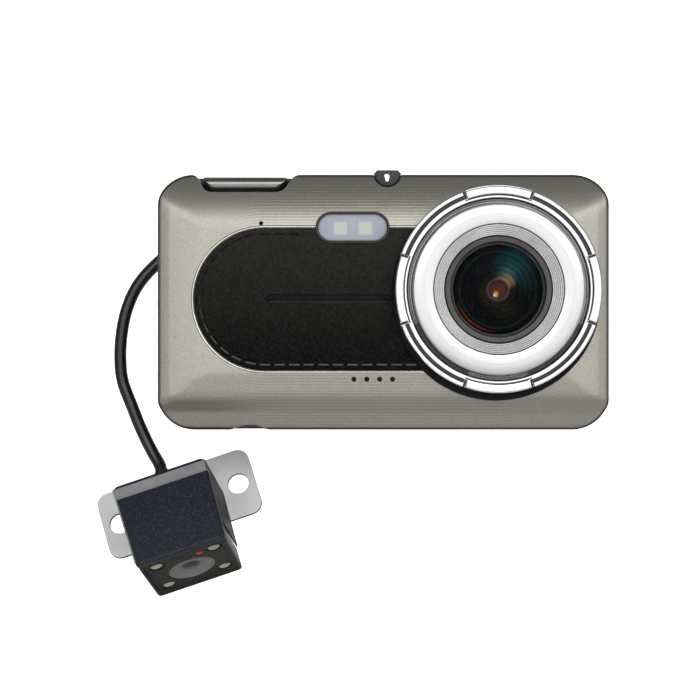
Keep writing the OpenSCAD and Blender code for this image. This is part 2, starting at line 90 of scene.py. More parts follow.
def settle(obj, stands_for=(), body="root", smooth=True, sharp=35):
    """Shades a piece, makes it ride and hides the CAD nodes that it stands for."""
    if smooth:
        obj.data.shade_smooth()
        obj.data.set_sharp_from_angle(angle=math.radians(sharp))
    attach(obj, body)
    if stands_for:
        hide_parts(*stands_for)
    return obj


def loft(rings, closed_along=True, capped=False):
    """Faces and points of a skin through rings of equal length."""
    n = len(rings[0])
    verts = [p for ring in rings for p in ring]
    faces = []
    for a in range(len(rings) if closed_along else len(rings) - 1):
        b = (a + 1) % len(rings)
        for i in range(n):
            j = (i + 1) % n
            faces.append((a * n + i, a * n + j, b * n + j, b * n + i))
    if capped:
        faces.append(tuple(range(n)))
        faces.append(tuple(range(len(rings) * n - n, len(rings) * n)))
    return verts, faces


def join(*parts):
    """Several (points, faces) pairs as one."""
    verts, faces = [], []
    for v, f in parts:
        faces += [tuple(i + len(verts) for i in face) for face in f]
        verts += list(v)
    return verts, faces


def moved(part, matrix):
    return [matrix @ Vector(v) for v in part[0]], part[1]


def lathe(profile, segments=160, closed=True):
    """A ring or disc about the lens axis, from points (radius, y)."""
    angles = [2 * math.pi * i / segments for i in range(segments)]
    rings = [[(r * math.cos(a), y, r * math.sin(a)) for a in angles] for r, y in profile]
    return loft(rings, closed_along=closed, capped=not closed)


def outline(w, h, r, n=12, edge=1):
    """A rounded rectangle in X and Z, as points from the right side round by the top."""
    points = []
    for k, (sx, sz) in enumerate(((1, 1), (-1, 1), (-1, -1), (1, -1))):
        for i in range(n + 1):
            a = math.radians(90 * (k + i / n))
            points.append((sx * (w / 2 - r) + r * math.cos(a), sz * (h / 2 - r) + r * math.sin(a)))
    if edge == 1:
        return points
    full = []
    for p, q in zip(points, points[1:] + points[:1]):
        steps = edge if math.dist(p, q) > 4 else 1
        full += [tuple(a + (b - a) * s / steps for a, b in zip(p, q)) for s in range(steps)]
    return full


def slab(w, h, r, y0, y1, bevel=0.25, n=10, steps=3):
    """A plate across Y with rounded corners and rounded edges."""
    rings = []
    for y, sign in ((y0, 1), (y1, -1)):
        turn = [(bevel * (1 - math.sin(math.pi / 2 * k / steps)),
                 y + sign * bevel * (1 - math.cos(math.pi / 2 * k / steps))) for k in range(steps + 1)]
        turn = turn if sign == 1 else turn[::-1]
        for inset, yy in turn:
            rings.append([(x, yy, z) for x, z in outline(w - 2 * inset, h - 2 * inset, max(r - inset, 0.05), n)])
    return loft(rings, closed_along=False, capped=True)


def block(lo, hi, bevel=0.2):
    """A box with rounded edges between two corners."""
    (x0, y0, z0), (x1, y1, z1) = lo, hi
    part = slab(x1 - x0, z1 - z0, min(bevel, (x1 - x0) / 2.1, (z1 - z0) / 2.1), y0, y1, min(bevel, (y1 - y0) / 2.1), 4)
    return moved(part, Matrix.Translation(((x0 + x1) / 2, 0, (z0 + z1) / 2)))


def sweep(path, section, closed=False, up=(0, 1, 0)):
    """Runs a closed section of (sideways, upwards) points along a path."""
    up = Vector(up)
    rings = []
    for i, p in enumerate(path):
        before = path[i - 1] if i or closed else path[i]
        after = path[(i + 1) % len(path)] if i < len(path) - 1 or closed else path[i]
        t = (Vector(after) - Vector(before)).normalized()
        side = t.cross(up).normalized()
        lift = side.cross(t)
        rings.append([Vector(p) + side * s + lift * u for s, u in section])
    return loft(rings, closed_along=closed, capped=not closed)


def disc(radius, n=12):
    return [(radius * math.cos(2 * math.pi * i / n), radius * math.sin(2 * math.pi * i / n)) for i in range(n)]


def rod(radius, y0, y1, n=48):
    return lathe([(radius, y0), (radius, y1)], n, closed=False)


def prism(points, y0, y1):
    """A straight extrusion along Y of points (x, z)."""
    return loft([[(x, y, z) for x, z in points] for y in (y0, y1)], closed_along=False, capped=True)


def carve(obj, parts, at=ON_BODY, tangled=False):
    """Cuts closed shapes out of a piece, once, leaving plain mesh."""
    for k, part in enumerate(parts):
        cutter = piece(f"cutter_{k}", *part, mat=obj.data.materials[0], at=at)
        mod = obj.modifiers.new("cut", "BOOLEAN")
        mod.operation, mod.solver, mod.object = "DIFFERENCE", "EXACT", cutter
        mod.use_self = tangled
        bpy.context.view_layer.update()
        done = bpy.data.meshes.new_from_object(obj.evaluated_get(bpy.context.evaluated_depsgraph_get()))
        obj.modifiers.clear()
        obj.data = done
        bpy.data.objects.remove(cutter)
    obj.data.shade_smooth()
    obj.data.set_sharp_from_angle(angle=math.radians(32))
    return obj


# ---- Material helpers ----


class Graph:
    """A material with one Principled shader and short ways to add nodes."""

    def __init__(self, name, color=(0.5, 0.5, 0.5), **sockets):
        self.mat = bpy.data.materials.new(name)
        self.mat.use_nodes = True
        self.tree = self.mat.node_tree
        self.shader = self.tree.nodes["Principled BSDF"]
        self.shader.inputs["Base Color"].default_value = (*color, 1)
        for key, value in sockets.items():
            self.shader.inputs[key.replace("_", " ")].default_value = value
        self.at = self.node("ShaderNodeTexCoord").outputs["Object"]

    def node(self, kind, **values):
        made = self.tree.nodes.new(kind)
        for key, value in values.items():
            setattr(made, key, value)
        return made

    def link(self, a, b):
        self.tree.links.new(a, b)

    def math(self, how, a, b=None, c=None):
        made = self.node("ShaderNodeMath", operation=how)
        for i, v in enumerate((a, b, c)):
            if isinstance(v, (int, float)):
                made.inputs[i].default_value = v
            elif v is not None:
                self.link(v, made.inputs[i])
        return made.outputs[0]

    def xyz(self):
        split = self.node("ShaderNodeSeparateXYZ")
        self.link(self.at, split.inputs[0])
        return [self.math("MULTIPLY", out, 1000) for out in split.outputs]

    def noise(self, per_m, detail=3, rough=0.55, stretch=None):
        made = self.node("ShaderNodeTexNoise")
        made.inputs["Scale"].default_value = per_m
        made.inputs["Detail"].default_value = detail
        made.inputs["Roughness"].default_value = rough
        if stretch:
            mapping = self.node("ShaderNodeMapping")
            mapping.inputs["Scale"].default_value = stretch
            self.link(self.at, mapping.inputs[0])
            self.link(mapping.outputs[0], made.inputs["Vector"])
        else:
            self.link(self.at, made.inputs["Vector"])
        return made.outputs["Fac"]

    def cells(self, per_m, feature="F1"):
        made = self.node("ShaderNodeTexVoronoi", feature=feature)
        made.inputs["Scale"].default_value = per_m
        self.link(self.at, made.inputs["Vector"])
        return made.outputs["Distance"]

    def ramp(self, fac, stops):
        made = self.node("ShaderNodeValToRGB")
        line = made.color_ramp.elements
        while len(line) < len(stops):
            line.new(0.5)
        for element, (place, color) in zip(line, stops):
            element.position = place
            element.color = (*color, 1) if len(color) == 3 else color
        self.link(fac, made.inputs[0])
        return made.outputs["Color"]

    def span(self, fac, lo, hi, a=0.0, b=1.0):
        made = self.node("ShaderNodeMapRange")
        made.clamp = True
        for name, v in zip(("From Min", "From Max", "To Min", "To Max"), (lo, hi, a, b)):
            made.inputs[name].default_value = v
        self.link(fac, made.inputs["Value"])
        return made.outputs[0]

    def mix(self, fac, a, b):
        made = self.node("ShaderNodeMix", data_type="RGBA")
        for i, v in ((0, fac), (6, a), (7, b)):
            if isinstance(v, tuple):
                made.inputs[i].default_value = (*v, 1)
            elif isinstance(v, (int, float)):
                made.inputs[i].default_value = v
            else:
                self.link(v, made.inputs[i])
        return made.outputs[2]

    def color(self, out):
        self.link(out, self.shader.inputs["Base Color"])

    def rough(self, out):
        self.link(out, self.shader.inputs["Roughness"])

    def bump(self, height, mm, strength=1.0, under=None):
        made = self.node("ShaderNodeBump")
        made.inputs["Strength"].default_value = strength
        made.inputs["Distance"].default_value = mm * MM
        self.link(height, made.inputs["Height"])
        if under is not None:
            self.link(under, made.inputs["Normal"])
        self.link(made.outputs[0], self.shader.inputs["Normal"])
        return made.outputs[0]


def plain(name, color, rough, metal=0.0, vary=0.12, grain=900, bump_mm=0.01, **sockets):
    """A moulded or coated finish: slight mottling of colour and gloss, and a fine grain."""
    g = Graph(name, color, Metallic=metal, **sockets)
    cloud = g.noise(grain / 9)
    darker = tuple(c * (1 - vary) for c in color)
    lighter = tuple(min(1, c * (1 + vary)) for c in color)
    g.color(g.ramp(cloud, [(0.3, darker), (0.7, lighter)]))
    g.rough(g.span(g.noise(grain / 4), 0.3, 0.7, max(0.02, rough * 0.85), min(1, rough * 1.15)))
    if bump_mm:
        g.bump(g.noise(grain), bump_mm, 0.6)
    return g.mat


def shell_paint():
    """Champagne metallic paint over fine moulded lines that follow the inlay's outline, with painted shade darkening
    the outer edge.
    """
    g = Graph("shell_champagne", (0.40, 0.388, 0.332), Metallic=0.9, Roughness=0.34)
    x, _, z = g.xyz()
    out_x = g.math("MAXIMUM", g.math("SUBTRACT", g.math("ABSOLUTE", g.math("SUBTRACT", x, MID.x)), BODY_W / 2 - CORNER), 0.0)
    out_z = g.math("MAXIMUM", g.math("SUBTRACT", g.math("ABSOLUTE", g.math("SUBTRACT", z, MID.z)), BODY_H / 2 - CORNER), 0.0)
    out = g.math("SQRT", g.math("ADD", g.math("POWER", out_x, 2.0), g.math("POWER", out_z, 2.0)))
    # Painted shade: the outermost 0.8 mm of the shell is mixed to near black, standing in for the shaded edge.
    rim = g.span(out, CORNER - 0.8, CORNER - 0.25)
    left, right = MID.x + INLAY_X, MID.x + LENS.x
    centre, half = (left + right) / 2, (right - left) / 2
    past = g.math("MAXIMUM", g.math("SUBTRACT", g.math("ABSOLUTE", g.math("SUBTRACT", x, centre)), half), 0.0)
    rise = g.math("SUBTRACT", z, MID.z + INLAY_Z)
    away = g.math("SQRT", g.math("ADD", g.math("POWER", past, 2.0), g.math("POWER", g.math("ABSOLUTE", rise), 2.0)))
    lines = g.math("SINE", g.math("MULTIPLY", away, 2 * math.pi / 0.72))
    slant = g.math("ADD", g.math("ABSOLUTE", g.math("SUBTRACT", x, centre)), g.math("ABSOLUTE", rise))
    cross = g.math("SINE", g.math("MULTIPLY", slant, 2 * math.pi / 0.75))
    corner = g.span(past, 0.5, 9, 0, 0.9)
    height = g.math("ADD", g.math("MULTIPLY", lines, g.span(corner, 0, 0.9, 1, 0.35)), g.math("MULTIPLY", cross, corner))
    tone = g.math("ADD", g.math("MULTIPLY", height, 0.16), g.noise(2600, 3))
    paint = g.ramp(tone, [(0.2, (0.335, 0.325, 0.278)), (0.5, (0.40, 0.388, 0.332)), (0.8, (0.47, 0.457, 0.392))])
    g.color(g.mix(rim, paint, (0.045, 0.043, 0.038)))
    g.rough(g.span(height, -1.5, 1.5, 0.46, 0.37))
    g.bump(height, 0.012, 0.5, g.bump(g.noise(6000, 2), 0.003, 0.4))
    return g.mat


def leather():
    """Black grained leather: creased pebbles, pores and a soft sheen, with painted shade that darkens its colour
    towards the bottom.
    """
    g = Graph("leather_black", (0.012, 0.0115, 0.01), Roughness=0.5, Specular_IOR_Level=0.1)
    _, _, z = g.xyz()
    crease = g.cells(1500, "SMOOTH_F1")
    fine = g.noise(4200, 4, 0.65)
    # Painted shade: base colour runs from near black at the bottom to dark grey at the top, standing in for light from
    # above.
    height = g.math("ADD", z, g.math("MULTIPLY", g.noise(900, 3), 7.0))
    g.color(g.mix(g.span(height, MID.z - 8, MID.z + 20), (0.0028, 0.0026, 0.0022), (0.026, 0.025, 0.021)))
    g.rough(g.span(fine, 0.3, 0.7, 0.34, 0.5))
    under = g.bump(crease, 0.5, 1.0)
    g.bump(fine, 0.06, 0.8, under)
    return g.mat


def spun(name, light, dark, rough, metal=1.0, lines_per_mm=9.0, at=None, strength=0.25):
    """Lathe-turned metal: very fine rings about an axis, brighter and duller in turn."""
    g = Graph(name, light, Metallic=metal, Roughness=rough)
    x, y, z = g.xyz()
    dx, dz = g.math("SUBTRACT", x, at.x), g.math("SUBTRACT", z, at.z)
    r = g.math("SQRT", g.math("ADD", g.math("MULTIPLY", dx, dx), g.math("MULTIPLY", dz, dz)))
    groove = g.math("SINE", g.math("MULTIPLY", r, 2 * math.pi * lines_per_mm))
    uneven = g.noise(150, 3)
    g.color(g.ramp(g.math("ADD", g.math("MULTIPLY", groove, 0.12), uneven), [(0.25, dark), (0.7, light)]))
    g.rough(g.span(g.noise(700, 2), 0.3, 0.7, rough * 0.85, min(1, rough * 1.2)))
    g.bump(groove, 0.002, strength)
    return g.mat


def powder():
    """Black powder coat with the fine light specks that it shows close up."""
    g = Graph("hood_powder", (0.012, 0.014, 0.023), Roughness=0.42, Specular_IOR_Level=0.26)
    speck = g.noise(3800, 2, 0.7)
    g.color(g.ramp(speck, [(0.35, (0.007, 0.008, 0.014)), (0.58, (0.015, 0.018, 0.030)), (0.74, (0.11, 0.12, 0.16))]))
    g.rough(g.span(g.noise(2500, 2), 0.3, 0.7, 0.34, 0.56))
    g.bump(speck, 0.05, 0.55)
    return g.mat


def glassy(name, color, rough, transmission, ior=1.5, vary=0.06, alpha=1.0, **sockets):
    """Clear, tinted or frosted plastic or glass."""
    g = Graph(name, color, Transmission_Weight=transmission, IOR=ior, Alpha=alpha, **sockets)
    g.color(g.ramp(g.noise(180, 2), [(0.3, tuple(c * (1 - vary) for c in color)), (0.7, color)]))
    g.rough(g.span(g.noise(400, 2), 0.3, 0.7, rough * 0.8, rough * 1.2))
    return g.mat


# ---- Materials ----

SHELL = shell_paint()
LEATHER = leather()
HOOD = powder()
BLACK = plain("plastic_black", (0.018, 0.018, 0.019), 0.42, grain=1600)
HOUSING = plain("housing_black", (0.022, 0.022, 0.023), 0.5, grain=2600, bump_mm=0.03)
GLOSS = plain("gloss_black", (0.008, 0.008, 0.009), 0.09, bump_mm=0, Coat_Weight=0.6, Coat_Roughness=0.04)
TRIM = plain("trim_silver", (0.74, 0.74, 0.71), 0.2, metal=1, grain=700, bump_mm=0.004)
THREAD = Graph("thread_grey", (0.03, 0.03, 0.028), Roughness=0.6, Specular_IOR_Level=0.2)
_, _, z = THREAD.xyz()
# Painted shade: the thread is near black towards the top and lighter grey towards the bottom, standing in for shade in
# the upper stitches and light on the lower ones.
THREAD.color(THREAD.mix(THREAD.span(THREAD.math("ADD", z, THREAD.math("MULTIPLY", THREAD.noise(2500, 3), 4.0)), -44, -24),
                        (0.12, 0.118, 0.105), (0.006, 0.006, 0.005)))
THREAD.bump(THREAD.noise(5000, 2), 0.05, 0.8)
THREAD = THREAD.mat
CHROME = plain("ring_chrome", (0.88, 0.885, 0.89), 0.15, metal=1, grain=300, bump_mm=0, vary=0.03)
SATIN = spun("ring_silver", (0.71, 0.71, 0.72), (0.68, 0.68, 0.69), 0.32, at=MID + LENS, metal=0.85)
STEPS = spun("ring_step", (0.52, 0.52, 0.51), (0.40, 0.40, 0.39), 0.26, at=MID + LENS, metal=0.9)
GAP_GREY = spun("ring_dark", (0.46, 0.46, 0.46), (0.34, 0.34, 0.34), 0.3, at=MID + LENS, metal=0.8)
MID_GREY = spun("ring_grey", (0.09, 0.087, 0.086), (0.066, 0.064, 0.064), 0.36, at=MID + LENS, metal=0.9)
BAFFLE = spun("baffle_black", (0.012, 0.012, 0.013), (0.005, 0.005, 0.006), 0.5, at=MID + LENS, metal=0.0, lines_per_mm=2.6)
BAFFLE.node_tree.nodes["Principled BSDF"].inputs["Specular IOR Level"].default_value = 0.12
MATT = plain("matt_black", (0.007, 0.007, 0.007), 0.6, grain=1600, Specular_IOR_Level=0.12)
BAY_METAL = plain("bay_metal", (0.26, 0.26, 0.25), 0.24, metal=0.9, grain=900, bump_mm=0)
TRAY = plain("lamp_tray", (0.42, 0.44, 0.52), 0.5, grain=900)
LAMP_CHIP = plain("lamp_chip", (1.0, 0.96, 0.50), 0.4, grain=900, Emission_Color=(1, 0.95, 0.5, 1), Emission_Strength=0.35)
CAP = plain("cap_smoked", (0.042, 0.038, 0.034), 0.5, grain=600, bump_mm=0, Specular_IOR_Level=0.12)
BUTTON = plain("button_dark", (0.03, 0.03, 0.031), 0.35, grain=2000)
# Painted reflection: the power button gets this pale grey metal instead of the dark button finish, standing in for the
# reflection that makes it look pale.
BUTTON_PAINTED_REFLECTION = plain("button_grey", (0.42, 0.41, 0.38), 0.35, metal=0.7, grain=2000)
LEAD = plain("lead_rubber", (0.011, 0.011, 0.012), 0.3, grain=900, bump_mm=0.02, Coat_Weight=0.25, Coat_Roughness=0.22)
TIE = plain("tie_black", (0.02, 0.02, 0.021), 0.48, grain=1500)
EYE_GREY = plain("eye_grey", (0.36, 0.36, 0.345), 0.35, metal=0.2, grain=1500, bump_mm=0)
STRIP = plain("strip_grey", (0.29, 0.29, 0.305), 0.4, metal=0.0, grain=2600, bump_mm=0.03)
BRACKET = plain("bracket_grey", (0.96, 0.96, 0.99), 0.42, metal=0.0, grain=1800, bump_mm=0.015, vary=0.05)
STEEL = plain("connector_steel", (0.66, 0.66, 0.67), 0.3, metal=1, grain=1200)
SCREW = plain("screw_steel", (0.20, 0.20, 0.21), 0.35, metal=1, grain=1500)
BOARD = plain("board_green", (0.02, 0.11, 0.045), 0.4, grain=1400, vary=0.3)
CHIP = plain("chip_dark", (0.03, 0.03, 0.034), 0.45, grain=2600)
FOIL = plain("battery_foil", (0.55, 0.55, 0.57), 0.32, metal=0.8, grain=500, bump_mm=0.03)
CREAM = plain("led_cream", (0.90, 0.88, 0.70), 0.4, grain=1500)
SENSOR_RED = plain("sensor_red", (0.75, 0.02, 0.02), 0.2, grain=1500, bump_mm=0)
DIFFUSER = plain("diffuser_clear", (0.62, 0.65, 0.76), 0.3, grain=300, bump_mm=0, Alpha=0.5)
LENS_GLASS = plain("lens_glass", (0.010, 0.022, 0.022), 0.3, grain=200, bump_mm=0, Alpha=0.02, Specular_IOR_Level=0.02)
SMOKED = plain("smoked_plastic", (0.030, 0.027, 0.024), 0.3, grain=300, bump_mm=0, Alpha=0.15, Specular_IOR_Level=0.1)
SCREEN = plain("screen_glass", (0.006, 0.006, 0.008), 0.05, grain=200, bump_mm=0, Coat_Weight=1.0)
FINISH = {
    "shell_champagne": SHELL, "housing_black": HOUSING, "leather_black": LEATHER, "trim_silver": TRIM,
    "thread_grey": THREAD, "diffuser_clear": DIFFUSER, "led_cream": CREAM, "board_green": BOARD,
    "ring_chrome": CHROME, "ring_dark": GAP_GREY, "ring_silver": SATIN, "ring_grey": MID_GREY,
    "lens_glass": LENS_GLASS, "plastic_black": BLACK, "chip_dark": CHIP, "gloss_black": GLOSS,
    "connector_steel": STEEL, "button_grey": BUTTON_PAINTED_REFLECTION, "button_dark": BUTTON, "screen_glass": SCREEN,
    "battery_foil": FOIL, "screw_steel": SCREW, "lead_rubber": LEAD, "tie_black": TIE,
    "smoked_plastic": SMOKED, "hood_powder": HOOD, "sensor_red": SENSOR_RED, "bracket_grey": BRACKET,
}
for row in frame["record"]["subparts"]:
    mesh = NODES[row["node"]].data
    mesh.materials.clear()
    mesh.materials.append(FINISH[row["material_slot"]])


# ---- Camera, light and backdrop ----

cam = bpy.data.objects.new("camera", bpy.data.cameras.new("camera"))
bpy.context.scene.collection.objects.link(cam)
cam.location = (-0.0088, -0.502, -0.0422)
cam.rotation_euler = (math.radians(90), 0, 0)
cam.data.sensor_width, cam.data.lens = 36, 109.2
cam.data.clip_start, cam.data.clip_end = 0.01, 20
bpy.context.scene.camera = cam
bpy.context.scene.view_settings.view_transform = "Standard"


def softbox(name, at, aim, width, height, watts):
    data = bpy.data.lights.new(name, "AREA")
    data.shape, data.size, data.size_y, data.energy = "RECTANGLE", width, height, watts
    lamp = bpy.data.objects.new(name, data)
    bpy.context.scene.collection.objects.link(lamp)
    lamp.location = at
    lamp.rotation_euler = (Vector(aim) - Vector(at)).to_track_quat("-Z", "Y").to_euler()


softbox("band", (0.15, -1.15, 0.40), (0, 0.1, 0.0), 2.4, 0.36, 7.5)
softbox("front", (0.0, -1.3, -0.02), (0, 0.1, -0.05), 2.4, 0.62, 5.2)
softbox("back", (0.3, 0.75, 0.75), (0, 0, -0.04), 1.0, 0.6, 3)

world = bpy.data.worlds.new("studio")
world.use_nodes = True
world.node_tree.nodes["Background"].inputs[0].default_value = (0.97, 0.98, 1.0, 1)
world.node_tree.nodes["Background"].inputs[1].default_value = 0.17
bpy.context.scene.world = world

PALE = Graph("backdrop_pale", (0.9, 0.9, 0.9), Roughness=0.9, Emission_Color=(1, 1, 1, 1))
PALE.color(PALE.ramp(PALE.noise(2), [(0.2, (0.88, 0.88, 0.88)), (0.8, (0.9, 0.9, 0.9))]))
x, y, z = PALE.xyz()
reach = PALE.math("SQRT", PALE.math("ADD", PALE.math("MULTIPLY", x, x), PALE.math("MULTIPLY", PALE.math("ADD", z, 42), PALE.math("ADD", z, 42))))
glow = PALE.math("MULTIPLY", PALE.span(reach, 340, 620, 1.0, 0.0), PALE.span(y, 650, 1000, 0.0, 1.0))
PALE.link(glow, PALE.shader.inputs["Emission Strength"])
curve = [(-6, -0.32), (0.7, -0.32)] + [
    (0.7 + 0.4 * math.sin(math.radians(a)), 0.08 - 0.4 * math.cos(math.radians(a))) for a in range(10, 90, 10)
] + [(1.1, 0.08), (1.1, 4)]
backdrop_mesh = bpy.data.meshes.new("backdrop")
backdrop_mesh.from_pydata(
    [(x, y, z) for y, z in curve for x in (-5, 5)], [],
    [(2 * i, 2 * i + 1, 2 * i + 3, 2 * i + 2) for i in range(len(curve) - 1)])
backdrop_mesh.shade_smooth()
backdrop_mesh.materials.append(PALE.mat)
backdrop = bpy.data.objects.new("backdrop", backdrop_mesh)
bpy.context.scene.collection.objects.link(backdrop)


# ---- Lead: one real cord wound in layers behind the unit ----

LEAD_R = 1.5
COIL_LO, COIL_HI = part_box("lead_coil")
COIL = Vector(((COIL_LO.x + COIL_HI.x) / 2, 0, (COIL_LO.z + COIL_HI.z) / 2)) / MM
COIL_Y0 = COIL_LO.y / MM
ROWS, LAYERS = 6, 8
UPPER = [(29, 12.2, -14.5), (25, 13, -13.8), (20, 16.5, -12), (14.5, 22.5, -9.4), (8.5, 29.5, -6.9), (3, 34.6, -5.8)]
LOWER = [(-19, 14, -6.2), (-27.5, 14, -7.5), (-36, 14, -9.9), (-44, 14, -13.2), (-51, 14, -17.4), (-56.5, 14, -22),
         (-60.4, 14, -26.6), (-62.9, 14, -32), (-64.2, 14, -37.8), (-64.6, 14, -44.1), (-64, 14, -49.8),
         (-61.8, 13.5, -55.6), (-59.5, 13, -61.2), (-57, 12.2, -66.2), (-54.9, 11.1, -69.7), (-54.3, 10.3, -71.4)]


def smooth_line(points, per=8):
    """A smooth line through the points."""
    p = [Vector(q) for q in points]
    p = [2 * p[0] - p[1]] + p + [2 * p[-1] - p[-2]]
    line = []
    for i in range(1, len(p) - 2):
        a, b, c, d = p[i - 1:i + 3]
        for k in range(per):
            t = k / per
            line.append(0.5 * (2 * b + (c - a) * t + (2 * a - 5 * b + 4 * c - d) * t ** 2
                               + (3 * b - a - 3 * c + d) * t ** 3))
    return line + [p[-2]]


def step(t, start, width):
    """0 before start, 1 after start + width, and smooth between."""
    k = min(max((t - start) / width, 0), 1)
    return k * k * (3 - 2 * k)


def wound():
    """The coil's centreline: each layer spirals in or out, one lead's width a turn."""
    per, points = 30, []
    turns = ROWS * LAYERS
    first, last = 75, 100
    total = turns * 360 + last - first
    count = int(per * total / 360)
    for i in range(count + 1):
        turned_by = total * i / count
        n = min(int(turned_by / 360), turns - 1)
        within = turned_by - 360 * n
        layer, row = divmod(n, ROWS)
        inward = layer % 2 == 0
        place = row if inward else ROWS - 1 - row
        move = step(within, 325, 35) if n < turns - 1 else 0
        if row < ROWS - 1:
            place += move if inward else -move
            depth = layer
        else:
            depth = layer + move
        radius = LEAD_R * (2 * (ROWS - 1 - place)) + (COIL_HI.x - COIL_LO.x) / MM / 2 - LEAD_R * (2 * ROWS - 1)
        y = COIL_Y0 + LEAD_R * (2 * (LAYERS - 1 - depth) + 1)
        a = math.radians(first + turned_by)
        points.append(Vector((COIL.x + radius * math.cos(a), y, COIL.z + radius * math.sin(a))))
    return points


coil_line = wound()
upper = smooth_line(UPPER + [tuple(coil_line[0]), tuple(coil_line[2])])[:-9]
lower = smooth_line([tuple(coil_line[-3]), tuple(coil_line[-1])] + LOWER)[9:]
lead_line = [p * MM for p in (upper + coil_line + lower)[::-1]]

data = bpy.data.curves.new("lead", "CURVE")
data.dimensions, data.bevel_depth, data.bevel_resolution, data.use_fill_caps = "3D", LEAD_R * MM, 3, True
spline = data.splines.new("POLY")
spline.points.add(len(lead_line) - 1)
for point, place in zip(spline.points, lead_line):
    point.co = (*place, 1)
spline.use_smooth = True
data.materials.append(LEAD)
lead = bpy.data.objects.new("lead", data)
bpy.context.scene.collection.objects.link(lead)
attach(lead, "root")
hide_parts("lead_lower", "lead_coil", "lead_upper")

# Two soft straps hold the coil together
straps = []
for turn in (-35, 215):
    half_w, deep = ROWS * LEAD_R, LAYERS * LEAD_R
    loop = [(p[0], p[1]) for p in outline(2 * half_w + 1.0, 2 * deep + 1.1, 1.6, 6)]
    section = [(s, u) for s, u in outline(6, 0.8, 0.35, 3)]
    path = [Vector((x, COIL_Y0 + deep + y, 0)) for x, y in loop]
    part = sweep(path, [(u, s) for s, u in section], closed=True, up=(0, 0, 1))
    lug = block((half_w + 0.5, COIL_Y0 + deep - 2.4, -2.4), (half_w + 1.5, COIL_Y0 + deep + 2.4, 2.4), 0.3)
    across = Matrix.Rotation(math.radians(-turn), 4, "Y") @ Matrix.Translation(((COIL_HI.x - COIL_LO.x) / MM / 2 - half_w, 0, 0))
    straps.append(moved(join(part, lug), Matrix.Translation(COIL) @ across))
ties = piece("lead_ties", *join(*straps), TIE, at=Matrix(), stands_for=["coil_ties"])

# Plug: pushed into the jack, with an elbow and a ribbed strain relief
JACK_LO, JACK_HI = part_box("av_socket")
JACK = Vector(((JACK_LO.x + JACK_HI.x) / 2, 0, (JACK_LO.z + JACK_HI.z) / 2)) / MM - MID
AT_JACK = ON_BODY @ Matrix.Translation(JACK)
ALONG_LEAD = Matrix.Translation((0, 12.2, 0)) @ Matrix.Rotation(math.radians(90), 4, "Z")
relief = [(0.2, -1), (2.8, -1), (2.8, 11), (2.55, 11.6)]
for k in range(5):
    y, r = 12.1 + k * 1.15, 2.42 - 0.13 * k
    relief += [(r, y), (r, y + 0.62), (r - 0.45, y + 0.7), (r - 0.45, y + 1.08)]
relief += [(1.72, 17.85), (0.2, 17.85)]
plug = piece("lead_plug", *join(
    lathe([(0.1, 9.15), (2.9, 9.15), (3.2, 9.5), (3.2, 14.9), (2.75, 15.35), (0.1, 15.35)], 48, closed=False),
    rod(1.25, 0.2, 9.2, 32), moved(lathe(relief, 40, closed=False), ALONG_LEAD)), BLACK, at=AT_JACK, stands_for=["av_plug"])


# ---- Main unit: front shell ----


def reading(d, rows):
    """The value at distance d in a table of (distance, value)."""
    for (d0, v0), (d1, v1) in zip(rows, rows[1:]):
        if d <= d1:
            return v0 + (v1 - v0) * max(d - d0, 0) / (d1 - d0)
    return rows[-1][1]


BOTTOM = [(0, 6.8), (0.5, 6.1), (1.3, 5.6), (1.7, 5.45), (3.6, 4.6), (4.1, 4.45), (7.5, 1.1), (7.9, 1), (8.7, 0.75), (13.2, 0)]
SIDE = [(0, 5), (0.2, 2.8), (0.5, 2.1), (1, 1.8), (3, 1.15), (6, 0.6), (9, 0.2), (12, 0)]


def drop(x, z):
    """How far the shell's skin lies behind its front plane at a place."""
    top, bottom = BODY_H / 2 - z, BODY_H / 2 + z
    if top < 2.3:
        up = 5 - 1.6 * (max(top, 0) / 2.3) ** 0.8
    else:
        up = 3.4 * max(0, (13 - top) / 10.7) ** 1.8
    down = reading(bottom, BOTTOM)
    side = reading(BODY_W / 2 - abs(x), SIDE)
    blend = 4.5 if z > 0 else 14
    return max((max(up, down) ** blend + side ** blend) ** (1 / blend), 0)


def stadium(x, z, r):
    """The nearest place to (x, z) on an outline of radius r round the inlay's middle line."""
    cx = min(max(x, INLAY_X), LENS.x)
    away = Vector((x - cx, z - INLAY_Z)).normalized()
    return cx + r * away.x, INLAY_Z + r * away.y


def shell_ring(inset, y_of, edge=46):
    return [(x, y_of(x, z), z) for x, z in outline(BODY_W - 2 * inset, BODY_H - 2 * inset, CORNER - inset, 12, edge)]


def skin(x, z):
    return FACE_Y + drop(x, z)


rings = []
INLAY_EDGE = INLAY_R + 0.62
last_inner = outline(BODY_W - 15, BODY_H - 15, CORNER - 7.5, 12, 46)
rings.append([(*[stadium(x, z, INLAY_EDGE - 1)[0]], FACE_Y + 2.2, stadium(x, z, INLAY_EDGE - 1)[1]) for x, z in last_inner])
for t in (0.7, 0.35, 0):
    ring = []
    for x, z in last_inner:
        sx, sz = stadium(x, z, INLAY_EDGE)
        px, pz = x + (sx - x) * t, z + (sz - z) * t
        ring.append((px, skin(px, pz) + 1.4, pz))
    rings.append(ring)
for inset in (5.5, 3.5, 1.5):
    rings.append(shell_ring(inset, lambda x, z: min(skin(x, z) + 1.3, -0.3)))
rings.append(shell_ring(1.45, lambda x, z: 0))
rings.append(shell_ring(0.1, lambda x, z: 0))
rings.append(shell_ring(0, lambda x, z: -0.12))
rings.append(shell_ring(0, lambda x, z: skin(x, z) + 0.25))
for inset in (0.1, 0.3, 0.6, 1.0, 1.3, 1.7, 2.0, 2.3, 2.8, 3.2, 3.6, 4.1, 4.8, 5.5, 6.2, 6.9, 7.5):
    rings.append(shell_ring(inset, skin))
